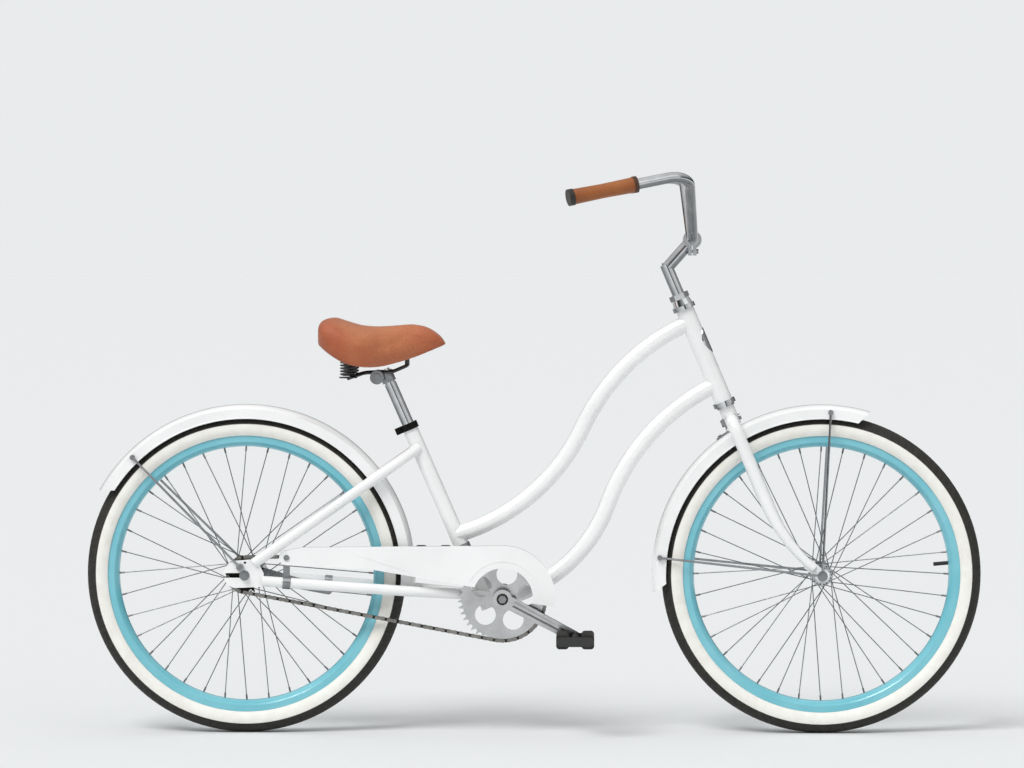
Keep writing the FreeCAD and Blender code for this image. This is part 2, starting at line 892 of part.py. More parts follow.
def toothed_disc(centre, teeth, pitch_radius, gap_angle):
    """Sprocket blank: a round seat under each roller, straight flanks and narrow tips."""
    seat = roller_radius + roller_seat_gap
    tip_radius = pitch_radius + tooth_height
    tip_turn = math.degrees(tooth_tip_width / 2 / tip_radius)
    edges = []
    last = None
    for k in range(teeth):
        angle = gap_angle + 360 * k / teeth
        bottom = polar(centre, pitch_radius, angle)
        low, middle, high = [polar(bottom, seat, angle + 180 - turn) for turn in (-seat_half_angle, 0, seat_half_angle)]
        if last:
            edges.append(Part.LineSegment(last, low).toShape())
        else:
            first = low
        tip_start = polar(centre, tip_radius, angle + 180 / teeth - tip_turn)
        tip_end = polar(centre, tip_radius, angle + 180 / teeth + tip_turn)
        edges.append(Part.Arc(low, middle, high).toShape())
        edges.append(Part.LineSegment(high, tip_start).toShape())
        edges.append(Part.LineSegment(tip_start, tip_end).toShape())
        last = tip_end
    edges.append(Part.LineSegment(last, first).toShape())
    half = tooth_thickness / 2
    return plate(Part.Wire(edges), -chain_line - half, -chain_line + half)


def make_sprocket():
    """Rear sprocket on the coaster driver, with its dust cap against the hub."""
    half = tooth_thickness / 2
    inner_end = driver_length - rear_cone_outer
    disc = toothed_disc(rear_axle_at, sprocket_teeth, sprocket_pitch_radius, sprocket_gap_angle)
    cap_outer = rear_hub_right_end + seat_gap + dust_cap_thickness
    driver = crossbar(rear_axle_at, -chain_line - half, inner_end, driver_radius)
    cap = crossbar(rear_axle_at, -cap_outer, -rear_hub_right_end - seat_gap, dust_cap_radius)
    bore = crossbar(rear_axle_at, -chain_line - half, inner_end, cone_radius + running_gap)
    return joined([disc, driver, cap]).cut(bore)


def make_chainring():
    """Toothed chainring plate with a ring of large round holes."""
    disc = toothed_disc(bracket_at, chainring_teeth, chainring_pitch_radius, chainring_gap_angle)
    reach = chain_line + overrun
    at = polar(bracket_at, chainring_hole_circle, chainring_hole_angle)
    holes = spun(crossbar(at, -reach, 0, chainring_hole_radius), bracket_at, chainring_hole_count)
    return disc.cut(holes + [crossbar(bracket_at, -reach, 0, chainring_bore_radius)])


# Bottom bracket, cranks and pedals
crank_outer_face = crank_inner_face + crank_thickness
chainring_outer_face = chain_line + tooth_thickness / 2
pedal_inner_face = crank_outer_face + pedal_offset
pedal_outer_face = pedal_inner_face + pedal_span


def pedal_centre(side):
    """Pedal axis of one crank, side -1 on the right and 1 on the left."""
    return polar(bracket_at, crank_length, crank_angle + (0 if side < 0 else 180))


def make_bracket_shell():
    """Short wide sleeve that the frame tubes meet on."""
    half = bracket_width / 2
    return crossbar(bracket_at, -half, half, bracket_radius).cut(crossbar(bracket_at, -half, half, bracket_bore_radius))


def make_bracket_cups():
    """Two bearing cups screwed into the shell, with the spindle running in their bores."""
    half = bracket_width / 2
    body = joined([
        crossbar(bracket_at, half - cup_depth, half, bracket_bore_radius),
        crossbar(bracket_at, half, half + cup_flange, cup_flange_radius)])
    cup = body.cut(crossbar(bracket_at, 0, half + cup_flange, spindle_radius + running_gap))
    return [cup, mirrored(cup)]


def make_spindle():
    """Bottom bracket spindle, round in its bearings and square in the cranks."""
    half = spindle_length / 2
    square = Part.makeBox(spindle_square, spindle_length, spindle_square)
    square.translate(bracket_at - Vector(spindle_square / 2, half, spindle_square / 2))
    square.rotate(bracket_at, wheel_turn, crank_angle)
    round_half = spindle_round_length / 2
    return joined([square, crossbar(bracket_at, -round_half, round_half, spindle_radius)])


def make_crank_bolts():
    """A bolt in the end of each crank, seated on a dished cap."""
    solids = []
    for side in (-1, 1):
        face = Vector(bracket_at.x, side * crank_outer_face, bracket_at.z)
        top = face + along_y * side * crank_cap_height
        solids.append(hexagon(top, along_y * side, 2 * crank_bolt_radius, crank_bolt_height))
    return solids


def make_crank_caps():
    """The round cap under each crank bolt."""
    near = crank_outer_face
    cap = crossbar(bracket_at, near, near + crank_cap_height, crank_cap_radius)
    return [mirrored(cap), cap]


def make_crank_arm(side, spindle, pedal_spindle):
    """Crank arm: a hub on the spindle, a tapered arm with a flute that runs out, and a round eye for the pedal."""
    end = bracket_at + Vector(crank_length, 0, 0)
    rise = up * crank_root_radius
    eye = up * crank_eye_radius
    wire = outline(
        bracket_at + rise,
        end + eye,
        (end + Vector(crank_eye_radius, 0, 0), end - eye),
        bracket_at - rise,
        (bracket_at - Vector(crank_root_radius, 0, 0), bracket_at + rise))
    near, far = sorted((side * crank_inner_face, side * crank_outer_face))
    root_lift = along_y * side * (crank_outer_face + crank_flute_radius - crank_flute_root_depth)
    tip_lift = along_y * side * (crank_outer_face + crank_flute_radius - crank_flute_tip_depth)
    root = bracket_at + Vector(crank_flute_start, 0, 0) + root_lift
    tip = end - Vector(crank_flute_end, 0, 0) + tip_lift
    arm = plate(wire, near, far).cut(rod(root, tip, crank_flute_radius))
    arm.rotate(bracket_at, wheel_turn, crank_angle + (0 if side < 0 else 180))
    hub = crossbar(bracket_at, side * chainring_outer_face, side * crank_outer_face, crank_hub_radius)
    spigot_end = chainring_outer_face - tooth_thickness
    spigot = crossbar(bracket_at, side * spigot_end, side * crank_outer_face, chainring_bore_radius)
    return joined([arm, hub, spigot]).cut([spindle, pedal_spindle])


def make_pedal_spindle(side):
    """Pedal spindle: a thread in the crank's eye, a collar against it and a slim shaft."""
    at = pedal_centre(side)
    shaft_end = pedal_outer_face - pedal_plate - pedal_cap_length
    return joined([
        crossbar(at, side * crank_inner_face, side * crank_outer_face, pedal_thread_radius),
        crossbar(at, side * crank_outer_face, side * (crank_outer_face + pedal_collar_length), pedal_collar_radius),
        crossbar(at, side * crank_outer_face, side * shaft_end, pedal_spindle_radius)])


def make_pedal_cage(side):
    """Pedal body: a bored barrel between two end plates."""
    at = pedal_centre(side)
    half = Vector((pedal_width - pedal_plate_height) / 2, 0, 0)
    rise = up * (pedal_plate_height / 2)
    nose = Vector(pedal_width / 2, 0, 0)
    wire = outline(
        at - half + rise, at + half + rise, (at + nose, at + half - rise),
        at - half - rise, (at - nose, at - half + rise))
    plates = []
    for face in (pedal_inner_face, pedal_outer_face - pedal_plate):
        near, far = sorted((side * face, side * (face + pedal_plate)))
        plates.append(plate(wire, near, far))
    barrel = crossbar(at, side * pedal_inner_face, side * pedal_outer_face, pedal_barrel_radius)
    bore_end = pedal_outer_face - pedal_plate - pedal_cap_length + seat_gap
    bore = crossbar(at, side * pedal_inner_face, side * bore_end, pedal_spindle_radius + running_gap)
    return joined(plates + [barrel]).cut(bore)


def make_pedal_blocks(side):
    """Front and back rubber blocks between the end plates, ribbed across their treads."""
    at = pedal_centre(side)
    near, far = sorted((side * (pedal_inner_face + pedal_plate), side * (pedal_outer_face - pedal_plate)))
    half = pedal_block_width / 2
    high = pedal_thickness / 2
    round_half = half - pedal_block_corner
    round_high = high - pedal_block_corner
    blocks = []
    for end in (-1, 1):
        middle = at + Vector(end * (pedal_width / 2 - half), 0, 0)

        def corner(x, z, dx, dz):
            share = math.sqrt(0.5)
            bend = pedal_block_corner * share
            centre = middle + Vector(x * round_half, 0, z * round_high)
            return (centre + Vector(x * bend, 0, z * bend), centre + Vector(dx, 0, dz) * pedal_block_corner)

        wire = outline(
            middle + Vector(-round_half, 0, high),
            middle + Vector(round_half, 0, high),
            corner(1, 1, 1, 0),
            middle + Vector(half, 0, -round_high),
            corner(1, -1, 0, -1),
            middle + Vector(-round_half, 0, -high),
            corner(-1, -1, -1, 0),
            middle + Vector(-half, 0, round_high),
            corner(-1, 1, 0, 1))
        block = plate(wire, near, far)
        grooves = []
        for k in range(pedal_groove_count):
            y = near + (far - near) * (k + 1) / (pedal_groove_count + 1) - pedal_groove_width / 2
            for z in (high - pedal_groove_depth, -high - overrun):
                groove = Part.makeBox(2 * pedal_width, pedal_groove_width, overrun + pedal_groove_depth)
                groove.translate(Vector(at.x - pedal_width, y, at.z + z))
                grooves.append(groove)
        blocks.append(block.cut(grooves))
    return blocks


# Frame tubes, each trimmed where it meets its neighbours
stay_spread = (rear_axle_gap + dropout_thickness) / 2
head_tube_top = head_tube_bottom + head_tube_length
head_bore_radius = head_tube_radius - head_tube_wall
head_solid = rod(on_steer(head_tube_bottom), on_steer(head_tube_top), head_tube_radius)
seat_solid = rod(on_seat(-seat_tube_foot), on_seat(seat_tube_top), seat_tube_radius)
bracket_solid = crossbar(bracket_at, -bracket_width / 2, bracket_width / 2, bracket_radius)
stay_reach = rear_axle_at.x + chainstay_end_reach - bracket_at.x
stay_drop = rear_axle_at.z - chainstay_end_drop - bracket_at.z


def on_chainstay(reach, y):
    """Point behind the bottom bracket at the chainstays' height there."""
    return bracket_at + Vector(-reach, y, -reach / stay_reach * stay_drop)


def chainstay_path():
    """Left chainstay: straight past the chainring, flared round the tyre, then back to the dropout."""
    points = [
        on_chainstay(chainstay_root_reach, chainstay_root_spread),
        on_chainstay(chainstay_straight_reach, chainstay_root_spread),
        on_chainstay(chainstay_flare_reach, chainstay_flare_spread),
        on_chainstay(-stay_reach, stay_spread)]
    return bent_path(points, [chainstay_bend_radius, chainstay_bend_radius])


seatstay_low = rear_axle_at + Vector(seatstay_end_reach, stay_spread, seatstay_end_rise)
seatstay_high = on_seat(seatstay_join, 0, seatstay_join_spread)
seatstay_run = Vector(seatstay_high.x - seatstay_low.x, 0, seatstay_high.z - seatstay_low.z)
seatstay_knee = seatstay_low + seatstay_run * seatstay_knee_share + along_y * (seatstay_knee_spread - stay_spread)


def seatstay_path():
    """Left seatstay: straight up past the fender, then bent in to the seat tube."""
    return bent_path([seatstay_low, seatstay_knee, seatstay_high], [seatstay_bend_radius])


def make_head_tube():
    """Head tube, bored for the headset cups."""
    return head_solid.cut(rod(on_steer(head_tube_bottom), on_steer(head_tube_top), head_bore_radius))


def seat_block(low, high, reach, width):
    """Upright block behind the seat tube's axis, from one height along it to another."""
    half = along_y * (width / 2)
    corners = [on_seat(low) - half, on_seat(low, reach) - half, on_seat(high, reach) - half, on_seat(high) - half]
    return Part.Face(Part.makePolygon(corners + corners[:1])).extrude(half * 2)


def make_seat_tube():
    """Seat tube, bored for the seat post and slotted at the back for the collar."""
    bore = rod(on_seat(-seat_tube_foot), on_seat(seat_tube_top), post_radius + running_gap)
    slot = seat_block(
        seat_tube_top - seat_slot_length, seat_tube_top + overrun, seat_tube_radius + overrun, seat_slot_width)
    return seat_solid.cut([bore, slot, bracket_solid])


def make_top_tube():
    """S-curved upper tube from low on the seat tube to the top of the head tube."""
    path = s_curve(on_seat(top_tube_rise), on_steer(head_tube_top - top_tube_drop), top_tube_bends)
    return swept_tube(path, frame_tube_radius, frame_tube_wall).cut([head_solid, seat_solid])


def make_down_tube():
    """S-curved lower tube from the bottom bracket to the bottom of the head tube."""
    start = bracket_at - up * down_tube_drop
    path = s_curve(start, on_steer(head_tube_bottom + down_tube_rise), down_tube_bends)
    return swept_tube(path, frame_tube_radius, frame_tube_wall).cut([head_solid, seat_solid, bracket_solid])


def dropout_point(x_share, z_share, y=0):
    """Corner of the dropout plate, as shares of its reach from the axle each way."""
    x = x_share * (dropout_front if x_share > 0 else dropout_rear)
    z = z_share * (dropout_top if z_share > 0 else dropout_bottom)
    return Vector(rear_axle_at.x + x, y, rear_axle_at.z + z)


fender_eye_at = rear_axle_at + Vector(-fender_eye_back, 0, fender_eye_rise)
rack_eye_at = rear_axle_at + Vector(rack_eye_forward, 0, rack_eye_rise)


def make_dropout():
    """Left dropout plate with its axle slot open at the back and two small eyes."""
    corners = [dropout_point(*shares) for shares in dropout_shares]
    wire = outline(*corners[:5], (corners[5], corners[6]), (corners[7], corners[0]))
    near = rear_axle_gap / 2
    far = near + dropout_thickness
    slot_half = axle_radius + dropout_slot_gap / 2
    slot = Part.makeBox(dropout_rear + overrun, dropout_thickness, 2 * slot_half)
    slot.translate(Vector(rear_axle_at.x - dropout_rear - overrun, near, rear_axle_at.z - slot_half))
    holes = [crossbar(at, near, far, fender_eye_radius) for at in (fender_eye_at, rack_eye_at)]
    return plate(wire, near, far).cut([slot, crossbar(rear_axle_at, near, far, slot_half)] + holes)


dropout_left = make_dropout()
chainstay_solid = swept(chainstay_path(), stay_radius)
seatstay_solid = swept(seatstay_path(), stay_radius)


def make_chainstays():
    """Two chainstays, slotted over the dropout plates."""
    tube = swept_tube(chainstay_path(), stay_radius, stay_wall)
    left = tube.cut([bracket_solid, seat_solid, dropout_left])
    return [mirrored(left), left]


def make_seatstays():
    """Two seatstays, slotted over the dropout plates."""
    left = swept_tube(seatstay_path(), stay_radius, stay_wall).cut([seat_solid, dropout_left])
    return [mirrored(left), left]


def reach_point(start, run, centre, radius):
    """Where a line of the side view passes a given distance from an axle, at its far end."""
    gap = start - centre
    gap.y = 0
    a = run.dot(run)
    b = 2 * gap.dot(run)
    c = gap.dot(gap) - radius ** 2
    return start + run * ((-b + math.sqrt(b * b - 4 * a * c)) / 2 / a)


chainstay_bridge_at = on_chainstay(centre_distance - fender_radius - bridge_gap, 0)
seatstay_bridge_at = reach_point(seatstay_low, seatstay_run, rear_axle_at, seatstay_bridge_reach)


def make_bridges():
    """Short cross tubes between the chainstays and between the seatstays, which hold the rear fender."""
    bridges = []
    for at, stay in ((chainstay_bridge_at, chainstay_solid), (seatstay_bridge_at, seatstay_solid)):
        bar = crossbar(at, -stay_spread, stay_spread, bridge_radius).cut([stay, mirrored(stay)])
        bridges.append(min(bar.Solids, key=lambda solid: abs(solid.CenterOfMass.y)))
    return bridges


def make_head_badge():
    """Bare oval plate wrapped on the front of the head tube."""
    middle = head_tube_top - badge_drop
    centre = on_steer(middle)
    ellipse = Part.Ellipse(Vector(), badge_height / 2, badge_width / 2).toShape()
    face = Part.Face(Part.Wire(ellipse))
    prism = face.extrude(up * (head_tube_radius + overrun))
    turn = FreeCAD.Matrix()
    turn.A11, turn.A21, turn.A31 = steer_up.x, steer_up.y, steer_up.z
    turn.A12, turn.A22, turn.A32 = 0, 1, 0
    turn.A13, turn.A23, turn.A33 = steer_forward.x, steer_forward.y, steer_forward.z
    prism = prism.transformGeometry(turn)
    prism.translate(centre)
    start = on_steer(middle - badge_height)
    end = on_steer(middle + badge_height)
    return ring(start, end, head_tube_radius + badge_thickness, head_tube_radius).common(prism)


def make_headset_cups():
    """Lower and upper bearing cups, pressed into the ends of the head tube."""
    cups = []
    for end, out in ((head_tube_bottom, -1), (head_tube_top, 1)):
        flange = rod(on_steer(end), on_steer(end + out * headset_cup_height), headset_cup_radius)
        spigot = rod(on_steer(end), on_steer(end - out * headset_cup_spigot), head_bore_radius)
        bore = rod(
            on_steer(end - out * headset_cup_spigot), on_steer(end + out * headset_cup_height),
            steerer_radius + headset_running_gap)
        cups.append(joined([flange, spigot]).cut(bore))
    return cups


def make_seat_collar():
    """Split collar round the top of the seat tube with two ears behind, and the bolt across them."""
    low = seat_tube_top - collar_height
    start = on_seat(low)
    end = on_seat(seat_tube_top)
    outer = seat_tube_radius + collar_wall
    reach = outer + collar_ear_length
    half = collar_ear_width / 2
    bolt_at = on_seat((low + seat_tube_top) / 2, outer + collar_ear_length / 2)
    bolt = joined([
        crossbar(bolt_at, -half, half, collar_bolt_radius),
        crossbar(bolt_at, -half - collar_bolt_head_height, -half, collar_bolt_head_radius),
        hexagon(bolt_at + along_y * half, along_y, 2 * collar_bolt_head_radius, collar_bolt_head_height)])
    body = joined([rod(start, end, outer), seat_block(low, seat_tube_top, reach, collar_ear_width)])
    slit = seat_block(low - overrun, seat_tube_top + overrun, reach + overrun, seat_slot_width)
    return [body.cut([rod(start, end, seat_tube_radius), bolt, slit]), bolt]


# Fork
crown_top = head_tube_bottom - headset_cup_height - headset_running_gap - crown_race_height
steerer_bottom = crown_top - steerer_seat
cone_bottom = head_tube_top + headset_cup_height + headset_running_gap
nut_bottom = cone_bottom + headset_cone_height
steerer_top = nut_bottom + headset_nut_height / 2
quill_top = nut_bottom + headset_nut_height + quill_show
quill_bottom = quill_top - quill_length
blade_turn = 2 * math.atan(fork_rake / blade_bend_start)
blade_bend_radius = blade_bend_start / math.sin(blade_turn)
steerer_solid = rod(on_steer(steerer_bottom), on_steer(steerer_top), steerer_radius)
crown_solid = rod(on_steer(crown_bottom), on_steer(crown_top), crown_radius)


def blade_point(share, y=0):
    """Point on the raked end of a fork blade, as a share of the bend down to the axle."""
    turn = blade_turn * share
    along = blade_bend_start - blade_bend_radius * math.sin(turn)
    return on_steer(along, blade_bend_radius * (1 - math.cos(turn)), y)


def blade_solid(inset):
    """Left fork blade, drawn in by an inset: bent out of the crown, straight, then raked and tapered."""
    path = bent_path([
        on_steer(blade_shoulder),
        on_steer(blade_knee, 0, blade_spread),
        on_steer(blade_bend_start, 0, blade_spread)], [blade_knee_radius])
    circles = []
    for k in range(blade_station_count):
        share = k / (blade_station_count - 1)
        turn = blade_turn * share * blade_end_share
        facing = steer_forward * math.sin(turn) - steer_up * math.cos(turn)
        radius = blade_radius + (blade_tip_radius - blade_radius) * share - inset
        at = blade_point(share * blade_end_share, blade_spread)
        circles.append(Part.Wire(Part.makeCircle(radius, at, facing)))
    return joined([swept(path, blade_radius - inset), Part.makeLoft(circles, True)])


def make_fork_tip():
    """Left fork tip: a flat plate round the axle with its slot open below, let into the blade's end."""
    near = front_axle_gap / 2
    far = near + fork_tip_thickness
    toward = unit(blade_point(blade_end_share) - front_axle_at)
    across = Vector(-toward.z, 0, toward.x) * (fork_tip_neck / 2)
    end = front_axle_at + toward * fork_tip_length
    neck = plate(outline(front_axle_at - across, end - across, end + across, front_axle_at + across), near, far)
    disc = crossbar(front_axle_at, near, far, fork_tip_radius)
    slot_half = Vector(axle_radius + dropout_slot_gap / 2, 0, 0)
    drop = up * (fork_tip_radius + overrun)
    slot = plate(outline(
        front_axle_at - slot_half, front_axle_at - slot_half - drop,
        front_axle_at + slot_half - drop, front_axle_at + slot_half), near, far)
    return joined([neck, disc]).cut([slot, crossbar(front_axle_at, near, far, slot_half.x)])


fork_tip_left = make_fork_tip()


def make_fork_blades():
    """Two hollow blades, trimmed to the crown and slotted over the tips."""
    left = blade_solid(0).cut([blade_solid(blade_wall), crown_solid, fork_tip_left])
    left = max(left.Solids, key=lambda solid: solid.Volume)
    return [mirrored(left), left]


def make_steerer():
    """Steerer tube, seated in the crown and bored for the stem's quill."""
    return steerer_solid.cut(rod(on_steer(steerer_bottom), on_steer(steerer_top), steerer_bore_radius))


def make_crown_bolt():
    """Bolt through the crown, with its head in front and its nut behind the fender's bracket."""
    front = on_steer(crown_bolt_height, crown_radius)
    back = on_steer(crown_bolt_height, -crown_radius - fender_bracket_thickness)
    return joined([
        rod(front, back, crown_bolt_radius),
        rod(front, front + steer_forward * crown_bolt_head_height, crown_bolt_head_radius),
        hexagon(back, steer_forward * -1, 2 * crown_bolt_head_radius, crown_bolt_head_height)])


def make_crown(crown_bolt):
    """Round fork crown, bored for the steerer and drilled for the fender's bolt."""
    return crown_solid.cut([steerer_solid, crown_bolt])


def make_headset_nuts():
    """Crown race under the lower cup, adjusting cone on the upper cup, and the lock nut over it."""
    race = ring(on_steer(crown_top), on_steer(crown_top + crown_race_height), crown_race_radius, steerer_radius)
    cone = taper(on_steer(cone_bottom), on_steer(nut_bottom), headset_cone_radius, headset_nut_radius)
    nut = hexagon(on_steer(nut_bottom), steer_up, 2 * headset_nut_radius, headset_nut_height)
    quill_way = rod(on_steer(nut_bottom), on_steer(quill_top), quill_radius + seat_gap)
    return [race, cone.cut(steerer_solid), nut.cut([steerer_solid, quill_way])]


# Stem, handlebar and grips
clamp_at = on_steer(quill_top) + Vector(stem_reach, 0, stem_rise)
stem_cap = quill_top + quill_cap
bar_root = clamp_at + along_y * bar_flat_half
bar_bend = clamp_at + Vector(-bar_bend_back, bar_bend_spread, bar_bend_rise)
bar_end = clamp_at + Vector(-bar_end_back, bar_end_spread, bar_end_rise)
grip_along = unit(bar_end - bar_bend)


def make_stem_bolts():
    """Expander bolt down the quill, and the pinch bolt under the bar clamp."""
    top = on_steer(stem_cap)
    expander = joined([
        rod(on_steer(quill_bottom - wedge_length), top, expander_bolt_radius),
        hexagon(top, steer_up, 2 * expander_head_radius, expander_head_height)])
    ear = Vector(stem_ear_radius, 0, 0)
    at = clamp_at - up * (stem_clamp_radius + stem_ear_length / 2 - stem_bolt_radius / 2)
    head = at + ear + Vector(stem_bolt_head_height, 0, 0)
    pinch = joined([rod(at - ear, at + ear, stem_bolt_radius), rod(at + ear, head, stem_bolt_head_radius)])
    return [expander, pinch]


def make_stem_plug():
    """Conical expander plug under the quill."""
    low = on_steer(quill_bottom - wedge_length)
    high = on_steer(quill_bottom)
    return taper(low, high, wedge_foot_radius, wedge_top_radius).cut(rod(low, high, expander_bolt_radius))


def make_stem(bolts):
    """Quill stem shaped like a seven, with a split clamp at the end of its arm."""
    half = stem_clamp_width / 2
    ear_drop = stem_clamp_radius + stem_ear_length
    ears = Part.makeBox(2 * stem_ear_radius, stem_clamp_width, ear_drop)
    ears.translate(clamp_at - Vector(stem_ear_radius, half, ear_drop))
    slit = Part.makeBox(stem_slit, stem_clamp_width + 2 * overrun, ear_drop + overrun)
    slit.translate(clamp_at - Vector(stem_slit / 2, half + overrun, ear_drop + overrun))
    body = joined([
        rod(on_steer(quill_bottom), on_steer(stem_cap), quill_radius),
        rod(on_steer(quill_top), clamp_at, stem_arm_radius),
        crossbar(clamp_at, -half, half, stem_clamp_radius),
        ears])
    bore = crossbar(clamp_at, -half - overrun, half + overrun, bar_sleeve_radius + running_gap)
    cut = body.cut([bore, slit] + bolts)
    return max(cut.Solids, key=lambda solid: solid.Volume)


def make_handlebar():
    """Swept-back tubular bar with a thicker sleeve in the clamp."""
    left = [bar_root, bar_bend, bar_end]
    right = [Vector(p.x, -p.y, p.z) for p in reversed(left)]
    path = bent_path(right + left, [bar_bend_radius, bar_root_radius, bar_root_radius, bar_bend_radius])
    half = bar_sleeve_length / 2
    body = joined([swept(path, bar_radius), crossbar(clamp_at, -half, half, bar_sleeve_radius)])
    return body.cut(swept(path, bar_radius - bar_wall))


def make_grips():
    """Two grips, a little waisted in the middle, over the ends of the bar."""
    end = bar_end - grip_along * grip_ring_length
    start = end - grip_along * grip_length
    middle = (start + end) / 2
    waist = grip_radius - grip_waist
    body = joined([taper(start, middle, grip_radius, waist), taper(middle, end, waist, grip_radius)])
    left = body.cut(rod(start, end, bar_radius))
    return [mirrored(left), left]


def make_grip_rings():
    """A collar at the inner end of each grip and a closed cap over the end of the bar."""
    cap_start = bar_end - grip_along * grip_ring_length
    bar_solid = rod(bar_end - grip_along * (grip_length + 3 * grip_ring_length), bar_end, bar_radius)
    inner_end = cap_start - grip_along * grip_length
    cap = rod(cap_start, bar_end + grip_along * grip_cap_thickness, grip_ring_radius).cut(bar_solid)
    collar = rod(inner_end - grip_along * grip_ring_length, inner_end, grip_ring_radius).cut(bar_solid)
    return [mirrored(cap), cap, mirrored(collar), collar]


# Seat post and saddle
saddle_clamp_boss_half = post_neck_radius + saddle_clamp_band
post_top = seat_tube_top + post_exposed
saddle_pivot = on_seat(post_top - saddle_clamp_drop, saddle_clamp_back)
saddle_rear = saddle_pivot.x - saddle_back_reach
saddle_lowest = saddle_pivot.z + saddle_rise
post_neck_bottom = post_top - post_neck_length


def make_seat_post():
    """Seat post with a narrower neck for the saddle clamp."""
    body = rod(on_seat(post_top - post_length), on_seat(post_neck_bottom), post_radius)
    return joined([body, rod(on_seat(post_neck_bottom), on_seat(post_top), post_neck_radius)])


def make_saddle_clamp():
    """Clamp band round the post's neck with a cross boss behind it for the tilt bolt."""
    low = post_top - post_neck_length + saddle_clamp_band
    high = low + saddle_clamp_band_width
    half = saddle_clamp_boss_half
    band = rod(on_seat(low), on_seat(high), post_neck_radius + saddle_clamp_band)
    boss = crossbar(saddle_pivot, -half, half, saddle_clamp_boss_radius)
    neck = rod(on_seat(post_neck_bottom), on_seat(post_top + overrun), post_neck_radius)
    bore = crossbar(saddle_pivot, -half, half, saddle_bolt_radius + running_gap)
    return joined([band, boss]).cut([neck, bore])


def saddle_point(reach, y, rise):
    """Point under the saddle, forward of and above its tilt bolt."""
    return saddle_pivot + Vector(reach, y, rise)


spring_foot = saddle_point(-rail_spring_reach, spring_spread, -rail_spring_drop)
spring_seat_top = spring_foot + up * rail_radius
rail_front_at = saddle_point(rail_front_reach, rail_spread, rail_front_rise)
rail_back_at = saddle_point(-rail_back_reach, rail_spread, rail_rise)


def make_saddle_rails(pan):
    """One wire bent round the nose and back on both sides to a round seat under each spring."""
    nose = saddle_point(rail_nose_reach, 0, rail_nose_rise)
    left = [spring_foot, rail_back_at, rail_front_at, saddle_point(rail_nose_reach, rail_nose_spread, rail_nose_rise)]
    right = [Vector(at.x, -at.y, at.z) for at in reversed(left)]
    radii = [rail_bend_radius, rail_bend_radius, rail_nose_radius]
    wire = swept(bent_path(left + right, radii + radii[::-1]), rail_radius)
    seat = rod(spring_seat_top - up * spring_seat_thickness, spring_seat_top, spring_seat_radius)
    pillar = rod(nose, nose + up * (saddle_height / 2), nose_bolt_radius)
    pillar = min(pillar.cut(pan).Solids, key=lambda solid: solid.BoundBox.ZMin)
    return joined([wire, seat, mirrored(seat), pillar])


def make_saddle_discs():
    """Two toothed clamp discs that grip the rails, and the tilt bolt with its nuts."""
    near = saddle_clamp_boss_half + seat_gap
    far = near + saddle_clamp_disc
    reach = far + saddle_bolt_nut_height
    bolt = joined([
        crossbar(saddle_pivot, -reach, reach, saddle_bolt_radius),
        hexagon(saddle_pivot + along_y * far, along_y, 2 * saddle_bolt_nut_radius, saddle_bolt_nut_height),
        hexagon(saddle_pivot - along_y * far, wheel_turn, 2 * saddle_bolt_nut_radius, saddle_bolt_nut_height)])
    grip = rod(rail_front_at, rail_back_at, rail_radius)
    disc = crossbar(saddle_pivot, near, far, saddle_clamp_radius).cut([bolt, grip])
    return [mirrored(disc), disc, bolt]


def biarc(start, start_along, end, end_along):
    """Two arcs that leave one point and reach another along given directions and meet smoothly."""
    gap = end - start
    both = start_along + end_along
    bend = 2 * (1 - start_along.dot(end_along))
    pull = gap.dot(both)
    reach = (math.sqrt(pull ** 2 + bend * gap.dot(gap)) - pull) / bend
    first = start + start_along * reach
    second = end - end_along * reach
    meet = (first + second) / 2
    edges = []
    for low, corner, high in ((start, first, meet), (meet, second, end)):
        weight = (high - low).Length / 2 / reach
        middle = (low + high + corner * (2 * weight)) / (2 + 2 * weight)
        edges.append(Part.Arc(low, middle, high).toShape())
    return edges


def make_spring():
    """Left saddle spring: one wire wound on biarcs of a quarter turn, with short straight ends."""
    rise = spring_height - 2 * spring_wire_radius
    foot = spring_seat_top + up * (spring_wire_radius + 2 * seat_gap)
    quarters = 4 * spring_turns

    def place(quarter):
        turn = math.pi / 2 * quarter
        radial = Vector(math.cos(turn), math.sin(turn), 0)
        along = Vector(-math.sin(turn), math.cos(turn), 0) * (spring_mean_radius * math.pi / 2)
        return foot + radial * spring_mean_radius + up * (rise * quarter / quarters), unit(along + up * (rise / quarters))

    first, first_along = place(0)
    last, last_along = place(quarters)
    lead = 2 * spring_wire_radius
    edges = [Part.LineSegment(first - first_along * lead, first).toShape()]
    for k in range(quarters):
        edges += biarc(*place(k), *place(k + 1))
    edges.append(Part.LineSegment(last, last + last_along * lead).toShape())
    start = first - first_along * lead
    circle = Part.Wire(Part.makeCircle(spring_wire_radius, start, first_along))
    return Part.Wire(edges).makePipeShell([circle], True, False), Part.Wire(edges)


def print_least_gap(path):
    """Measure on points how near one turn of the spring comes to the next."""
    points = path.discretize(Number=60 * spring_turns)
    skip = 20
    least = min((a - b).Length for k, a in enumerate(points) for b in points[k + skip:])
    print("least gap between spring turns: %.2f mm" % (least - 2 * spring_wire_radius))


def saddle_station(k):
    """Place, half width, top and bottom of one cross-section of the saddle."""
    x = saddle_rear + saddle_station_shares[k] * saddle_length
    half = saddle_half_width_shares[k] * saddle_width / 2
    top = saddle_lowest + saddle_top_shares[k] * saddle_height
    bottom = saddle_lowest + saddle_bottom_shares[k] * saddle_height
    return x, half, top, bottom


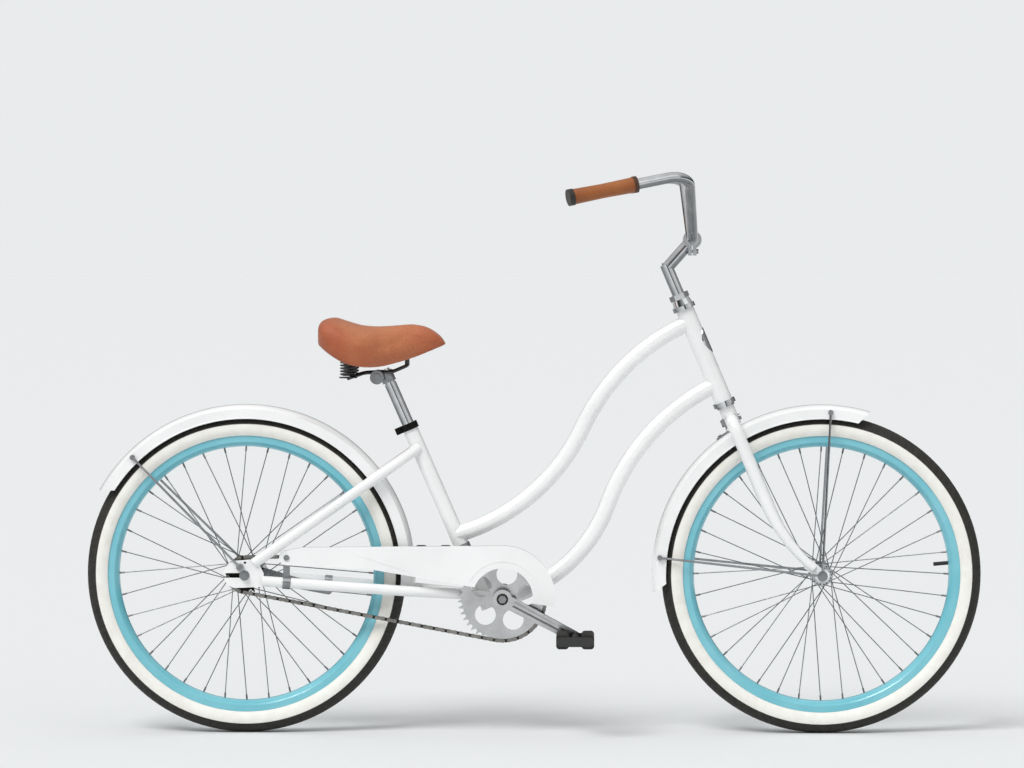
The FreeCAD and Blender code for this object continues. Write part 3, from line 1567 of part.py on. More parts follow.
def make_cushion():
    """Padded saddle top: crowned sections with drawn-in sides, wide behind and narrow at the nose, hollow below."""
    wires = []
    for k in range(len(saddle_station_shares)):
        x, half, top, bottom = saddle_station(k)
        high = top - bottom
        tuck = half * saddle_tuck_share
        shoulder = half * saddle_shoulder_share
        shoulder_z = top - high * saddle_crown_share
        side_z = bottom + high * saddle_side_share
        wires.append(outline(
            Vector(x, -tuck, bottom),
            (Vector(x, -half, side_z), Vector(x, -shoulder, shoulder_z)),
            (Vector(x, 0, top), Vector(x, shoulder, shoulder_z)),
            (Vector(x, half, side_z), Vector(x, tuck, bottom))))
    return Part.makeLoft(wires, True).cut(saddle_inside(0, saddle_height))


def saddle_inside(gap, depth):
    """Space under the saddle's roof, inside its skirts by a gap, reaching down by a depth."""
    wires = []
    for k in range(1, len(saddle_station_shares) - 1):
        x, half, top, bottom = saddle_station(k)
        width = max(half * saddle_tuck_share - saddle_skirt, saddle_skirt) - gap
        high = bottom + (top - bottom) * saddle_recess_share - gap
        low = high - depth
        wires.append(outline(
            Vector(x, -width, low), Vector(x, -width, high), Vector(x, width, high), Vector(x, width, low)))
    return Part.makeLoft(wires, True)


def make_pan():
    """Thin stiff pan under the cushion's roof, inside its skirts."""
    return saddle_inside(2 * seat_gap, saddle_pan_thickness)


def make_spring_tops(pan):
    """Round plate over each spring, bolted up to the pan."""
    low = spring_seat_top + up * (spring_height + 4 * seat_gap)
    high = low + up * spring_seat_thickness
    bolt = rod(low, low + up * (saddle_height / 2), spring_bolt_radius).cut(pan)
    bolt = min(bolt.Solids, key=lambda solid: solid.BoundBox.ZMin)
    left = joined([rod(low, high, spring_top_seat_radius).cut(pan), bolt])
    return [mirrored(left), left]


# Fenders and their stays
fender_half = fender_width / 2
stay_outside = fender_half + 2 * seat_gap


def fender_end(centre, angle, inward):
    """Cutter that slants a fender's end, so that its crown reaches further than its skirts."""
    outer = fender_radius + overrun
    inner = fender_skirt_radius - overrun
    past = angle - 3 * inward
    return plate(outline(
        polar(centre, outer, angle), polar(centre, inner, angle + inward),
        polar(centre, inner, past), polar(centre, outer, past)), -fender_width, fender_width)


def make_fender(centre, start, end, cutters):
    """Pressed steel mudguard: a crowned strip with skirts and a rolled edge, round part of a wheel."""
    shoulder = fender_radius - fender_crown_drop
    inner_half = fender_half - fender_sheet

    def at(radius, y):
        return section_point(centre, radius, y)

    sheet = turned(outline(
        at(fender_skirt_radius, fender_half),
        at(shoulder, fender_half),
        (at(fender_radius, 0), at(shoulder, -fender_half)),
        at(fender_skirt_radius, -fender_half),
        at(fender_skirt_radius, -inner_half),
        at(shoulder, -inner_half),
        (at(fender_radius - fender_sheet, 0), at(shoulder, inner_half)),
        at(fender_skirt_radius, inner_half)), centre, start, end)
    edge = at(fender_skirt_radius, fender_half - fender_bead_radius / 2)
    bead = turned(Part.Wire(Part.makeCircle(fender_bead_radius, edge, up)), centre, start, end)
    return joined([sheet, bead, mirrored(bead)]).cut(cutters)


def stay_bolt(at):
    """Left screw through a stay's tab and the fender's skirt, with a nut inside."""
    tab_end = stay_outside + fender_stay_tab
    nut = fender_half - fender_sheet
    return joined([
        crossbar(at, nut - stay_bolt_head_height, tab_end + stay_bolt_head_height, stay_bolt_radius),
        crossbar(at, tab_end, tab_end + stay_bolt_head_height, stay_bolt_head_radius),
        crossbar(at, nut - stay_bolt_head_height, nut, stay_bolt_head_radius)])


def make_stay(eye_at, eye_face, bore, tab_at, bolt):
    """Left fender stay: a round eye at the axle end, a straight wire and a tab on the skirt."""
    eye = crossbar(eye_at, eye_face, eye_face + stay_eye_thickness, stay_eye_radius)
    start = eye_at + along_y * (eye_face + stay_eye_thickness / 2)
    end = tab_at + along_y * (stay_outside + fender_stay_radius)
    level = Vector(tab_at.x - eye_at.x, 0, tab_at.z - eye_at.z)
    knee = start + unit(level) * stay_knee_reach
    start += unit(level) * (bore + fender_stay_radius)
    wire = swept(bent_path([start, knee, end], [stay_knee_radius]), fender_stay_radius)
    tab = crossbar(tab_at, stay_outside, stay_outside + fender_stay_tab, fender_stay_tab_radius)
    hole = crossbar(eye_at, eye_face - overrun, eye_face + stay_eye_thickness + overrun, bore)
    return joined([eye, wire, tab]).cut([bolt, hole])


rear_tab_at = polar(rear_axle_at, fender_stay_seat_radius, rear_stay_angle)
front_tabs_at = [polar(front_axle_at, fender_stay_seat_radius, angle) for angle in front_stay_angles]
rear_eye_face = rear_axle_gap / 2 + dropout_thickness
front_eye_face = front_axle_gap / 2 + fork_tip_thickness


def make_rear_stays():
    """Two rear fender stays on the dropouts' eyes."""
    left = make_stay(fender_eye_at, rear_eye_face, stay_bolt_radius, rear_tab_at, stay_bolt(rear_tab_at))
    return [mirrored(left), left]


def make_front_stays():
    """Four front fender stays, two on each end of the axle."""
    solids = []
    for k, tab_at in enumerate(front_tabs_at):
        face = front_eye_face + k * stay_eye_thickness
        left = make_stay(front_axle_at, face, axle_radius, tab_at, stay_bolt(tab_at))
        solids += [mirrored(left), left]
    return solids


def bridge_bolt(at):
    """Bolt from a frame bridge through the fender, with its head inside the fender."""
    out = unit(Vector(at.x - rear_axle_at.x, 0, at.z - rear_axle_at.z))
    gap = Vector(at.x - rear_axle_at.x, 0, at.z - rear_axle_at.z).Length
    centre = rear_axle_at + out * gap
    inside = rear_axle_at + out * (fender_radius - fender_sheet)
    head = inside - out * stay_bolt_head_height
    bolt = joined([rod(head, centre, stay_bolt_radius), rod(head, inside, stay_bolt_head_radius)])
    return bolt.cut(crossbar(at, -bridge_radius, bridge_radius, bridge_radius))


def eye_screw():
    """Left screw through a rear stay's eye into the dropout."""
    far = rear_eye_face + stay_eye_thickness
    return joined([
        crossbar(fender_eye_at, rear_axle_gap / 2, far, stay_bolt_radius),
        crossbar(fender_eye_at, far, far + stay_bolt_head_height, stay_bolt_head_radius)])


def make_rear_fender_bolts():
    """Screws of the rear fender: at the dropouts, the stays' tabs and the two bridges."""
    tab = stay_bolt(rear_tab_at)
    eye = eye_screw()
    return [mirrored(tab), tab, mirrored(eye), eye, bridge_bolt(chainstay_bridge_at), bridge_bolt(seatstay_bridge_at)]


bracket_forward = -crown_radius - fender_bracket_thickness
bracket_back = fork_rake - bracket_forward
bracket_low = math.sqrt(fender_radius ** 2 - bracket_back ** 2)
bracket_angle = 180 - head_angle + math.degrees(math.atan2(bracket_back, bracket_low))
bracket_foot_turn = math.degrees(fender_bracket_foot / fender_radius)


def make_fender_bracket(crown_bolt):
    """Bent strap behind the crown: upright on the bolt, with its foot lying on the front fender."""
    half = fender_bracket_width / 2
    low = bracket_low
    high = crown_bolt_height + half
    inner = on_steer(low, bracket_forward + fender_bracket_thickness, -half)
    corners = [inner, on_steer(high, bracket_forward + fender_bracket_thickness, -half),
               on_steer(high, bracket_forward, -half), on_steer(low, bracket_forward, -half)]
    strap = Part.Face(Part.makePolygon(corners + corners[:1])).extrude(along_y * fender_bracket_width)
    near = fender_radius + seat_gap
    far = near + fender_bracket_thickness
    foot = turned(outline(
        section_point(front_axle_at, near, -half), section_point(front_axle_at, far, -half),
        section_point(front_axle_at, far, half), section_point(front_axle_at, near, half)),
        front_axle_at, bracket_angle - bracket_foot_turn / 6, bracket_angle + bracket_foot_turn)
    under = crossbar(front_axle_at, -fender_width, fender_width, near)
    return joined([strap.cut(under), foot]).cut([crown_bolt, foot_screw()])


def foot_screw():
    """Screw through the bracket's foot and the front fender."""
    angle = bracket_angle + bracket_foot_turn * 2 / 3
    low = fender_radius - fender_sheet - stay_bolt_head_height
    foot_top = fender_radius + seat_gap + fender_bracket_thickness
    high = foot_top + stay_bolt_head_height
    return joined([
        rod(polar(front_axle_at, low, angle), polar(front_axle_at, high, angle), stay_bolt_radius),
        rod(polar(front_axle_at, foot_top, angle), polar(front_axle_at, high, angle), stay_bolt_head_radius)])


def make_front_fender_bolts(crown_bolt):
    """Screws of the front fender: at the crown, the bracket's foot and the stays' tabs."""
    solids = [crown_bolt, foot_screw()]
    for tab_at in front_tabs_at:
        tab = stay_bolt(tab_at)
        solids += [mirrored(tab), tab]
    return solids


# Chain guard
guard_end_at = bracket_at + Vector(-guard_end_reach, 0, guard_end_rise)
guard_back = guard_face - guard_depth
guard_inside = guard_face - guard_sheet


def guard_wire():
    """Side view of the guard: a ring round the chainring that runs back as a tapering tail."""
    end_top = guard_end_at + up * guard_end_radius
    end_bottom = guard_end_at - up * guard_end_radius
    return outline(
        polar(bracket_at, guard_outer_radius, guard_front_angle),
        (polar(bracket_at, guard_outer_radius, 45), polar(bracket_at, guard_outer_radius, 90)),
        bracket_at + Vector(-guard_top_corner_reach, 0, guard_top_rear_rise),
        end_top,
        (guard_end_at - Vector(guard_end_radius, 0, 0), end_bottom),
        bracket_at + Vector(-guard_belly_reach, 0, guard_belly_rise),
        polar(bracket_at, guard_inner_radius, guard_bottom_angle),
        (polar(bracket_at, guard_inner_radius, 75), polar(bracket_at, guard_inner_radius, guard_front_angle)))


def guard_crease():
    """Raised line on the guard's face, round the chainring."""
    inner = guard_crease_radius - guard_crease_half
    outer = guard_crease_radius + guard_crease_half
    wire = outline(
        polar(bracket_at, outer, 0),
        (polar(bracket_at, outer, 75), polar(bracket_at, outer, 150)),
        polar(bracket_at, inner, 150),
        (polar(bracket_at, inner, 75), polar(bracket_at, inner, 0)))
    return plate(wire, -guard_face - guard_crease_rise, -guard_inside)


def guard_fold():
    """Raised slanting line across the guard's tail, where its sheet is drawn in."""
    top = bracket_at + Vector(-guard_fold_top_reach, 0, guard_fold_top_rise)
    low = bracket_at + Vector(-guard_fold_low_reach, 0, guard_fold_low_rise)
    half = up * guard_crease_half
    return plate(outline(top + half, low + half, low - half, top - half), -guard_face - guard_crease_rise, -guard_inside)


def guard_screw():
    """Screw through the guard's tail into its rear strap."""
    return joined([
        crossbar(guard_end_at, -guard_face, -guard_inside + guard_strap_thickness, guard_screw_radius),
        crossbar(guard_end_at, -guard_face - guard_screw_head_height, -guard_face, guard_screw_head_radius)])


def make_guard():
    """Pressed steel chain guard with its edge turned in all round."""
    face = Part.Face(guard_wire())
    tray = plate(guard_wire(), -guard_face, -guard_back)
    hollow = face.makeOffset2D(-guard_sheet).extrude(along_y * guard_depth)
    hollow.translate(along_y * -guard_inside)
    half = guard_strap_width / 2 + seat_gap
    notch = Part.makeBox(2 * half, guard_depth, guard_end_rise)
    notch.translate(Vector(guard_end_at.x - half, -guard_inside, guard_end_at.z - guard_end_rise))
    return joined([tray.cut(hollow), guard_crease(), guard_fold()]).cut([guard_screw(), notch])


def stay_spread_at(reach):
    """How far the straight rear part of a chainstay stands from the middle plane."""
    share = (reach - chainstay_flare_reach) / (-stay_reach - chainstay_flare_reach)
    return chainstay_flare_spread + share * (stay_spread - chainstay_flare_spread)


def stay_clip(reach, width, wall, side):
    """Round clip on the straight rear part of a chainstay."""
    start = on_chainstay(reach - width / 2, side * stay_spread_at(reach - width / 2))
    end = on_chainstay(reach + width / 2, side * stay_spread_at(reach + width / 2))
    return rod(start, end, stay_radius + wall), rod(start, end, stay_radius)


def make_guard_brackets():
    """Rear strap from a chainstay clip up to the guard's screw, and a front tongue from a seat tube clip."""
    clip, stay = stay_clip(guard_end_reach, guard_clip_width, guard_clip_wall, -1)
    centre = on_chainstay(guard_end_reach, 0)
    half = Vector(guard_strap_width / 2, 0, 0)
    top = Vector(guard_end_at.x, 0, guard_end_at.z)
    wire = outline(
        centre - half, top - half, (top + up * half.x, top + half), centre + half)
    strap = plate(wire, -guard_inside, -guard_inside + guard_strap_thickness)
    long_stay = rod(
        on_chainstay(guard_end_reach - 2 * guard_clip_width, -stay_spread_at(guard_end_reach - 2 * guard_clip_width)),
        on_chainstay(guard_end_reach + 2 * guard_clip_width, -stay_spread_at(guard_end_reach + 2 * guard_clip_width)),
        stay_radius)
    rear = joined([clip, strap]).cut([long_stay, stay, guard_screw()])
    tongue_z = bracket_at.z + guard_outer_radius - guard_depth
    along = (tongue_z - seat_foot_at.z) / seat_up.z
    at = on_seat(along)
    band = rod(
        on_seat(along - guard_clip_width / 2), on_seat(along + guard_clip_width / 2), seat_tube_radius + guard_clip_wall)
    tongue = Part.makeBox(guard_strap_width, guard_inside, guard_strap_thickness)
    tongue.translate(Vector(at.x - guard_strap_width / 2, -guard_inside, tongue_z - guard_strap_thickness))
    front = joined([band, tongue]).cut(seat_solid)
    front = max(front.Solids, key=lambda solid: solid.Volume)
    return [max(rear.Solids, key=lambda solid: solid.Volume), front]


# Coaster brake arm
arm_end_at = on_chainstay(-stay_reach + chainstay_end_reach - brake_arm_reach, 0)
arm_end_at = arm_end_at - up * (stay_radius + brake_arm_end_radius)
arm_outer_face = brake_arm_inner_face + brake_arm_thickness


def brake_bolt():
    """Bolt that ties the brake arm to its clip."""
    near = brake_arm_inner_face - brake_bolt_head_height
    far = arm_outer_face + brake_clip_wall
    return joined([
        crossbar(arm_end_at, near, far, brake_bolt_radius),
        crossbar(arm_end_at, near, brake_arm_inner_face, brake_bolt_head_radius),
        crossbar(arm_end_at, far, far + brake_bolt_head_height, brake_bolt_head_radius)])


def make_brake_arm():
    """Flat tapered brake arm on the left of the hub, its clip round the chainstay, and their bolt."""
    toward = unit(arm_end_at - rear_axle_at)
    across = Vector(-toward.z, 0, toward.x)
    root = across * brake_arm_hub_radius
    tip = across * brake_arm_end_radius
    wire = outline(
        rear_axle_at - root, arm_end_at - tip, (arm_end_at + toward * brake_arm_end_radius, arm_end_at + tip),
        rear_axle_at + root, (rear_axle_at - toward * brake_arm_hub_radius, rear_axle_at - root))
    axle = crossbar(rear_axle_at, -rear_axle_gap, rear_axle_gap, axle_radius)
    arm = plate(wire, brake_arm_inner_face, arm_outer_face).cut([axle, brake_bolt()])
    reach = bracket_at.x - arm_end_at.x
    clip, stay = stay_clip(reach, brake_clip_width, brake_clip_wall, 1)
    half = Vector(brake_clip_width / 2, 0, 0)
    high = on_chainstay(reach, 0)
    tab = plate(outline(
        arm_end_at - half, high - half, high + half, arm_end_at + half,
        (arm_end_at - up * half.x, arm_end_at - half)), arm_outer_face, arm_outer_face + brake_clip_wall)
    long_stay = rod(
        on_chainstay(reach - brake_clip_width, stay_spread_at(reach - brake_clip_width)),
        on_chainstay(reach + brake_clip_width, stay_spread_at(reach + brake_clip_width)), stay_radius)
    clip = joined([clip, tab]).cut([stay, long_stay, brake_bolt()])
    return [arm, max(clip.Solids, key=lambda solid: solid.Volume), brake_bolt()]


def build_wheels():
    """Both wheels: tyre, inner tube, rim, spokes and hub, with the axles they turn on."""
    front_flanges = (-front_flange_spacing / 2, front_flange_spacing / 2)
    rear_flanges = (-rear_flange_right, rear_flange_left)
    for name, centre, flanges, circle in (
            ("front", front_axle_at, front_flanges, front_spoke_circle_radius),
            ("rear", rear_axle_at, rear_flanges, rear_spoke_circle_radius)):
        save(name + "_tyre", make_tyre(centre))
        save(name + "_inner_tube", make_inner_tube(centre))
        save(name + "_rim", make_rim(centre))
        save(name + "_spokes", *make_spokes(centre, flanges, circle))
    half = front_hub_length / 2
    bore = cone_radius + running_gap
    save("front_hub", make_hub(
        front_axle_at, half, half, front_flanges, front_hub_radius, bore, front_spoke_circle_radius))
    bore = driver_radius + running_gap
    save("rear_hub", make_hub(
        rear_axle_at, rear_hub_right_end, rear_hub_left_end, rear_flanges, rear_hub_radius, bore,
        rear_spoke_circle_radius))
    save("front_axle", *make_front_axle())
    save("rear_axle", *make_rear_axle())


def build_drive():
    """Chain, sprockets, cranks and pedals."""
    save("chain", *make_chain())
    save("rear_sprocket", make_sprocket())
    save("chainring", make_chainring())
    save("bottom_bracket_cups", *make_bracket_cups())
    spindle = make_spindle()
    save("bottom_bracket_spindle", spindle, *make_crank_bolts())
    save("crank_caps", *make_crank_caps())
    pedal_spindles = []
    for side, name in ((-1, "right"), (1, "left")):
        pedal_spindle = make_pedal_spindle(side)
        pedal_spindles.append(pedal_spindle)
        save(name + "_crank_arm", make_crank_arm(side, spindle, pedal_spindle))
        save(name + "_pedal_cage", make_pedal_cage(side))
        save(name + "_pedal_blocks", *make_pedal_blocks(side))
    save("pedal_spindles", *pedal_spindles)


def build_frame():
    """Frame tubes, fittings on the frame, rear fender, chain guard and brake arm."""
    save("head_tube", make_head_tube())
    save("top_tube", make_top_tube())
    save("down_tube", make_down_tube())
    save("seat_tube", make_seat_tube())
    save("bottom_bracket_shell", make_bracket_shell())
    chainstay_bridge, seatstay_bridge = make_bridges()
    save("chainstays", *make_chainstays(), chainstay_bridge)
    save("seatstays", *make_seatstays(), seatstay_bridge)
    save("rear_dropouts", mirrored(dropout_left), dropout_left)
    save("head_badge", make_head_badge())
    save("headset_cups", *make_headset_cups())
    save("seat_collar", *make_seat_collar())
    bolts = make_rear_fender_bolts()
    slant = fender_end(rear_axle_at, rear_fender_end, -fender_end_slant)
    save("rear_fender", make_fender(rear_axle_at, rear_fender_start, rear_fender_end, bolts + [slant]))
    save("rear_fender_stays", *make_rear_stays())
    save("rear_fender_bolts", *bolts)
    save("chain_guard", make_guard())
    save("chain_guard_brackets", *make_guard_brackets(), guard_screw())
    save("brake_arm", *make_brake_arm())


def build_fork():
    """Fork, headset, front fender, stem, handlebar and grips."""
    crown_bolt = make_crown_bolt()
    save("fork_crown", make_crown(crown_bolt), make_steerer())
    save("fork_blades", *make_fork_blades(), mirrored(fork_tip_left), fork_tip_left)
    save("headset_nuts", *make_headset_nuts())
    bolts = make_front_fender_bolts(crown_bolt)
    slants = [
        fender_end(front_axle_at, front_fender_start, fender_end_slant),
        fender_end(front_axle_at, front_fender_end, -fender_end_slant)]
    save("front_fender", make_fender(front_axle_at, front_fender_start, front_fender_end, bolts + slants))
    save("front_fender_stays", *make_front_stays(), make_fender_bracket(crown_bolt))
    save("front_fender_bolts", *bolts)
    stem_bolts = make_stem_bolts()
    save("stem", make_stem(stem_bolts))
    save("stem_bolts", *stem_bolts, make_stem_plug())
    save("handlebar", make_handlebar())
    save("grips", *make_grips())
    save("grip_rings", *make_grip_rings())


def build_saddle():
    """Seat post, clamp, rails, springs, pan and cushion."""
    save("seat_post", make_seat_post())
    save("saddle_clamp", make_saddle_clamp())
    pan = make_pan()
    rails = make_saddle_rails(pan)
    save("saddle_rails", rails)
    save("saddle_clamp_discs", *make_saddle_discs())
    spring, path = make_spring()
    print_least_gap(path)
    save("saddle_springs", mirrored(spring), spring)
    save("saddle_pan", pan, *make_spring_tops(pan))
    save("saddle_cushion", make_cushion())


os.makedirs("parts", exist_ok=True)
build_wheels()
build_drive()
build_frame()
build_fork()
build_saddle()
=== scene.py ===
"""Looks of a step-through cruiser bicycle: its finishes, its leather saddle cover and its coil springs."""

import json
import math

import bmesh
import bpy
import numpy as np
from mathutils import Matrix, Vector


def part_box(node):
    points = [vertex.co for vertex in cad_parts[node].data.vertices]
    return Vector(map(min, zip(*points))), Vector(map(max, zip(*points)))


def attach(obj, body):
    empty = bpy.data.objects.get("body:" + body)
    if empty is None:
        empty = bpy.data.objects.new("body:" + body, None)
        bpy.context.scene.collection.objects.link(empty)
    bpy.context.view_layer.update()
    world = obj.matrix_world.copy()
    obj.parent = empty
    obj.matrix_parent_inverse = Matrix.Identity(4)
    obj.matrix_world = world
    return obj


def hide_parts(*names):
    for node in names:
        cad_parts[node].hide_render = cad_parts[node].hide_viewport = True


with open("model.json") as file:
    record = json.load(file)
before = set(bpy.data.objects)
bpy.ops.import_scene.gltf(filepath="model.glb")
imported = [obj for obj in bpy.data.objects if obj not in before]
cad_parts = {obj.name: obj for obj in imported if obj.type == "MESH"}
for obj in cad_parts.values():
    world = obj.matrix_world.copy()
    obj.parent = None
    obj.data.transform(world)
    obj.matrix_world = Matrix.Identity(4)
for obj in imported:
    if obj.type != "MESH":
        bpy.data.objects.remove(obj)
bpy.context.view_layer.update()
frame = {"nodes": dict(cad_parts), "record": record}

# Tyres, in metres; sipes are counted round the tread and slanted by radians a metre across it
REAR_AXLE = (-0.5987, 0.0, 0.332)
FRONT_AXLE = (0.5987, 0.0, 0.332)
WHITEWALL_EDGE = 0.3125
LINE_SOFTNESS = 0.0006
WALL_RIDGES = 0.0042
WALL_HEIGHTS = (0.4, 0.5)
TREAD_SIPES = 120.0
SIPE_SLANT = 260.0
SIPE_DEPTH = 0.0018
SIPE_FLANK = (-0.55, -0.2)

# Sizes of what shows in the finishes, in metres
CLOUD_SIZE = 0.09
PEEL_SIZE = 0.004
HANDLING_SIZE = 0.03
STREAK_SIZE = 0.003
DUST_SIZE = 0.02
HIDE_CLOUD_SIZE = 0.06
OIL_REACH = 0.003
GRIP_EDGE = 0.02
TRIM_GRAIN_DEPTH = 0.00004

# Places of the shades in a finish's noise, and how many finer layers that noise has
SHADE_PLACES = (0.3, 0.7)
DUST_PLACES = (0.35, 0.75)
HIDE_PLACES = (0.2, 0.5, 0.8)
CLOUD_DETAIL = 4.0
STREAK_DETAIL = 2.0
MOULD_DETAIL = 3.0
SMEAR_DETAIL = 5.0

# Gloss: roughness from and to, or how far it spreads, and the refraction of clear plastics and of rubber
ENAMEL_SPREAD = 0.08
MOULD_SPREAD = 0.15
TYRE_ROUGH = (0.6, 0.8)
CHAIN_ROUGH = (0.28, 0.48)
TRIM_ROUGH = (0.4, 0.55)
HIDE_ROUGH = (0.6, 0.42)
POLYMER_IOR = 1.5
RUBBER_IOR = 1.52

# Painted shade on metal faces that look down, in place of dark reflections: from which upward lean of a face
# it starts and is full, and its colour
PAINTED_SHADE_FACING = (-0.02, -0.3)
PAINTED_SHADE_CODE = "#2C2D2F"

# Leather: how dark the painted shade in the creases is and how wide the creases are, and the share of painted
# shade at the ends, of clouds and of sheen
CREASE_SHADE = 0.45
CREASE_WIDTH = 0.3
END_SHADE_SHARE = 0.55
END_REACH = 0.4
CLOUD_SHARE = 0.5
STIR_SIZE = 4
SHEEN = 0.12

# Saddle, by stations from its back to its nose
SADDLE_BACK = -0.446
SADDLE_LENGTH = 0.263
SADDLE_WIDTH = 0.236
SADDLE_LOW = 0.763
SADDLE_HEIGHT = 0.103
STATION_SHARES = (0.0, 0.02, 0.06, 0.12, 0.22, 0.33, 0.42, 0.50, 0.62, 0.75, 0.86, 0.93, 0.975, 1.0)
HALF_WIDTH_SHARES = (0.62, 0.74, 0.85, 0.93, 0.98, 0.94, 0.83, 0.69, 0.52, 0.38, 0.31, 0.25, 0.18, 0.10)
TOP_SHARES = (0.86, 0.93, 0.98, 0.995, 0.92, 0.84, 0.815, 0.815, 0.835, 0.855, 0.815, 0.71, 0.60, 0.50)
BOTTOM_SHARES = (0.46, 0.425, 0.335, 0.225, 0.09, 0.02, 0.005, 0.02, 0.09, 0.19, 0.30, 0.375, 0.425, 0.46)
SIDE_POWER = 0.62
CROWN_POWER = 0.55
TUCK_SHARE = 0.86
TUCK_POWER = 1.6
ROOF_SHARE = 0.31
ROOF_POWER = 6
INNER_POWER = 0.5
SKIRT_WALL = 0.0115
LEAST_INNER_SHARE = 0.35
HOLLOW_SHARES = (0.03, 0.965)
HOLLOW_EASE = 0.015
END_INSET = (0.001, 0, 0)
STATION_COUNT = 75
OUTER_POINTS = 61
INNER_POINTS = 25
SADDLE_MERGE = 0.0004

# Swelling of the saddle cover as cloth
SWELL_CAP = 0.0025
SWELL_PRESSURE = 4.0
SWELL_STEPS = 20
SWELL_QUALITY = 6
HELD_FACING = -0.25
LEAST_MOVE = 1e-9

# Coil springs under the saddle's back
SPRING_SPREAD = 0.062
SPRING_WIRE = 0.002
SPRING_MEAN = 0.015
SPRING_TURNS = 5
SPRING_POINTS_A_TURN = 40
SPRING_RING_POINTS = 12
SPRING_MERGE = 0.00001

# Floor, light and camera
FLOOR_SIZE = 60.0
FLOOR_SHADE = "#E6E8E9"
FLOOR_ROUGH = 0.85
BACKDROP_SHADE = "#E9EBEC"
SKY_STRENGTH = 0.7
SKY_STOPS = (
    (0.0, "#C4C4C4"),
    (0.03, "#484848"),
    (0.13, "#303030"),
    (0.26, "#8A8A8A"),
    (0.45, "#D0D0D0"),
    (0.85, "#FFFFFF"))
CAMERA_PLACE = Vector((0.104, -9.5, 1.11))
CAMERA_AIM = Vector((-0.045, 0.0, 0.727))
LENS_MM = 160.6


def linear(code):
    """Linear colour with full alpha from an sRGB hex code, by the sRGB curve."""
    channels = [int(code[k:k + 2], 16) / 255 for k in (1, 3, 5)]
    return (*[c / 12.92 if c <= 0.04045 else ((c + 0.055) / 1.055) ** 2.4 for c in channels], 1.0)


def feed(tree, node, inputs):
    """Gives a node's sockets their values, or links them to a socket or to a node's first live output."""
    for name, value in inputs.items():
        if isinstance(value, bpy.types.Node):
            value = next(out for out in value.outputs if out.enabled)
        if isinstance(value, bpy.types.NodeSocket):
            tree.links.new(value, node.inputs[name])
        else:
            node.inputs[name].default_value = value


def add(tree, kind, settings, inputs):
    """Adds one node with its own fields (stops are a ramp's places and hex codes) and its inputs."""
    made = tree.nodes.new("ShaderNode" + kind)
    for name, value in settings.items():
        if name != "stops":
            setattr(made, name, value)
    for k, (place, code) in enumerate(settings.get("stops", ())):
        element = made.color_ramp.elements[k] if k < 2 else made.color_ramp.elements.new(place)
        element.position = place
        element.color = linear(code)
    feed(tree, made, inputs)
    return made


def new_finish(name):
    """New material with its Object coordinates and shader: (material, tree, place, shader)."""
    material = bpy.data.materials.new(name)
    material.use_nodes = True
    tree = material.node_tree
    place = add(tree, "TexCoord", {}, {}).outputs["Object"]
    return material, tree, place, tree.nodes["Principled BSDF"]


def make_enamel(name, shades, rough, peel):
    """Stoved enamel: a clear gloss over an even colour, with a faint peel and slow clouds in its shade."""
    material, tree, place, shader = new_finish(name)
    cloud = add(tree, "TexNoise", {}, {"Vector": place, "Scale": 1 / CLOUD_SIZE, "Detail": CLOUD_DETAIL})
    grain = add(tree, "TexNoise", {}, {"Vector": place, "Scale": 1 / PEEL_SIZE, "Detail": STREAK_DETAIL})
    dulled = {"Value": cloud, "To Min": rough, "To Max": rough + ENAMEL_SPREAD}
    feed(tree, shader, {
        "Base Color": add(tree, "ValToRGB", {"stops": zip(SHADE_PLACES, shades)}, {"Fac": cloud}),
        "Roughness": add(tree, "MapRange", {}, dulled),
        "Normal": add(tree, "Bump", {}, {"Height": grain, "Distance": peel}),
        "Coat Weight": 0.6,
        "Coat Roughness": 0.05,
        "IOR": POLYMER_IOR})
    return material


def make_metal(name, shades, rough, rough_spread, streak, depth, painted_shade):
    """Plated or polished metal: handling marks, polishing streaks, and a painted shade on faces that look
    down, standing in for dark reflections.
    """
    material, tree, place, shader = new_finish(name)
    # Faces that look down are painted darker, a painted shade standing in for dark reflections
    lean = add(tree, "SeparateXYZ", {}, {"Vector": place.node.outputs["Normal"]}).outputs["Z"]
    facing = {"From Min": PAINTED_SHADE_FACING[0], "From Max": PAINTED_SHADE_FACING[1], "To Max": painted_shade}
    under = add(tree, "MapRange", {}, {"Value": lean, **facing})
    cloud = add(tree, "TexNoise", {}, {"Vector": place, "Scale": 1 / HANDLING_SIZE, "Detail": CLOUD_DETAIL})
    plate = add(tree, "ValToRGB", {"stops": zip(SHADE_PLACES, shades)}, {"Fac": cloud})
    drawn = add(tree, "Mapping", {}, {"Vector": place, "Scale": (1.0, streak, 1.0)})
    lines = add(tree, "TexNoise", {}, {"Vector": drawn, "Scale": 1 / STREAK_SIZE, "Detail": STREAK_DETAIL})
    dulled = {"Value": lines, "To Min": rough, "To Max": rough + rough_spread}
    feed(tree, shader, {
        "Base Color": add(tree, "Mix", {"data_type": "RGBA"}, {0: under, 6: plate, 7: linear(PAINTED_SHADE_CODE)}),
        "Metallic": 1.0,
        "Roughness": add(tree, "MapRange", {}, dulled),
        "Normal": add(tree, "Bump", {}, {"Height": lines, "Distance": depth})})
    return material


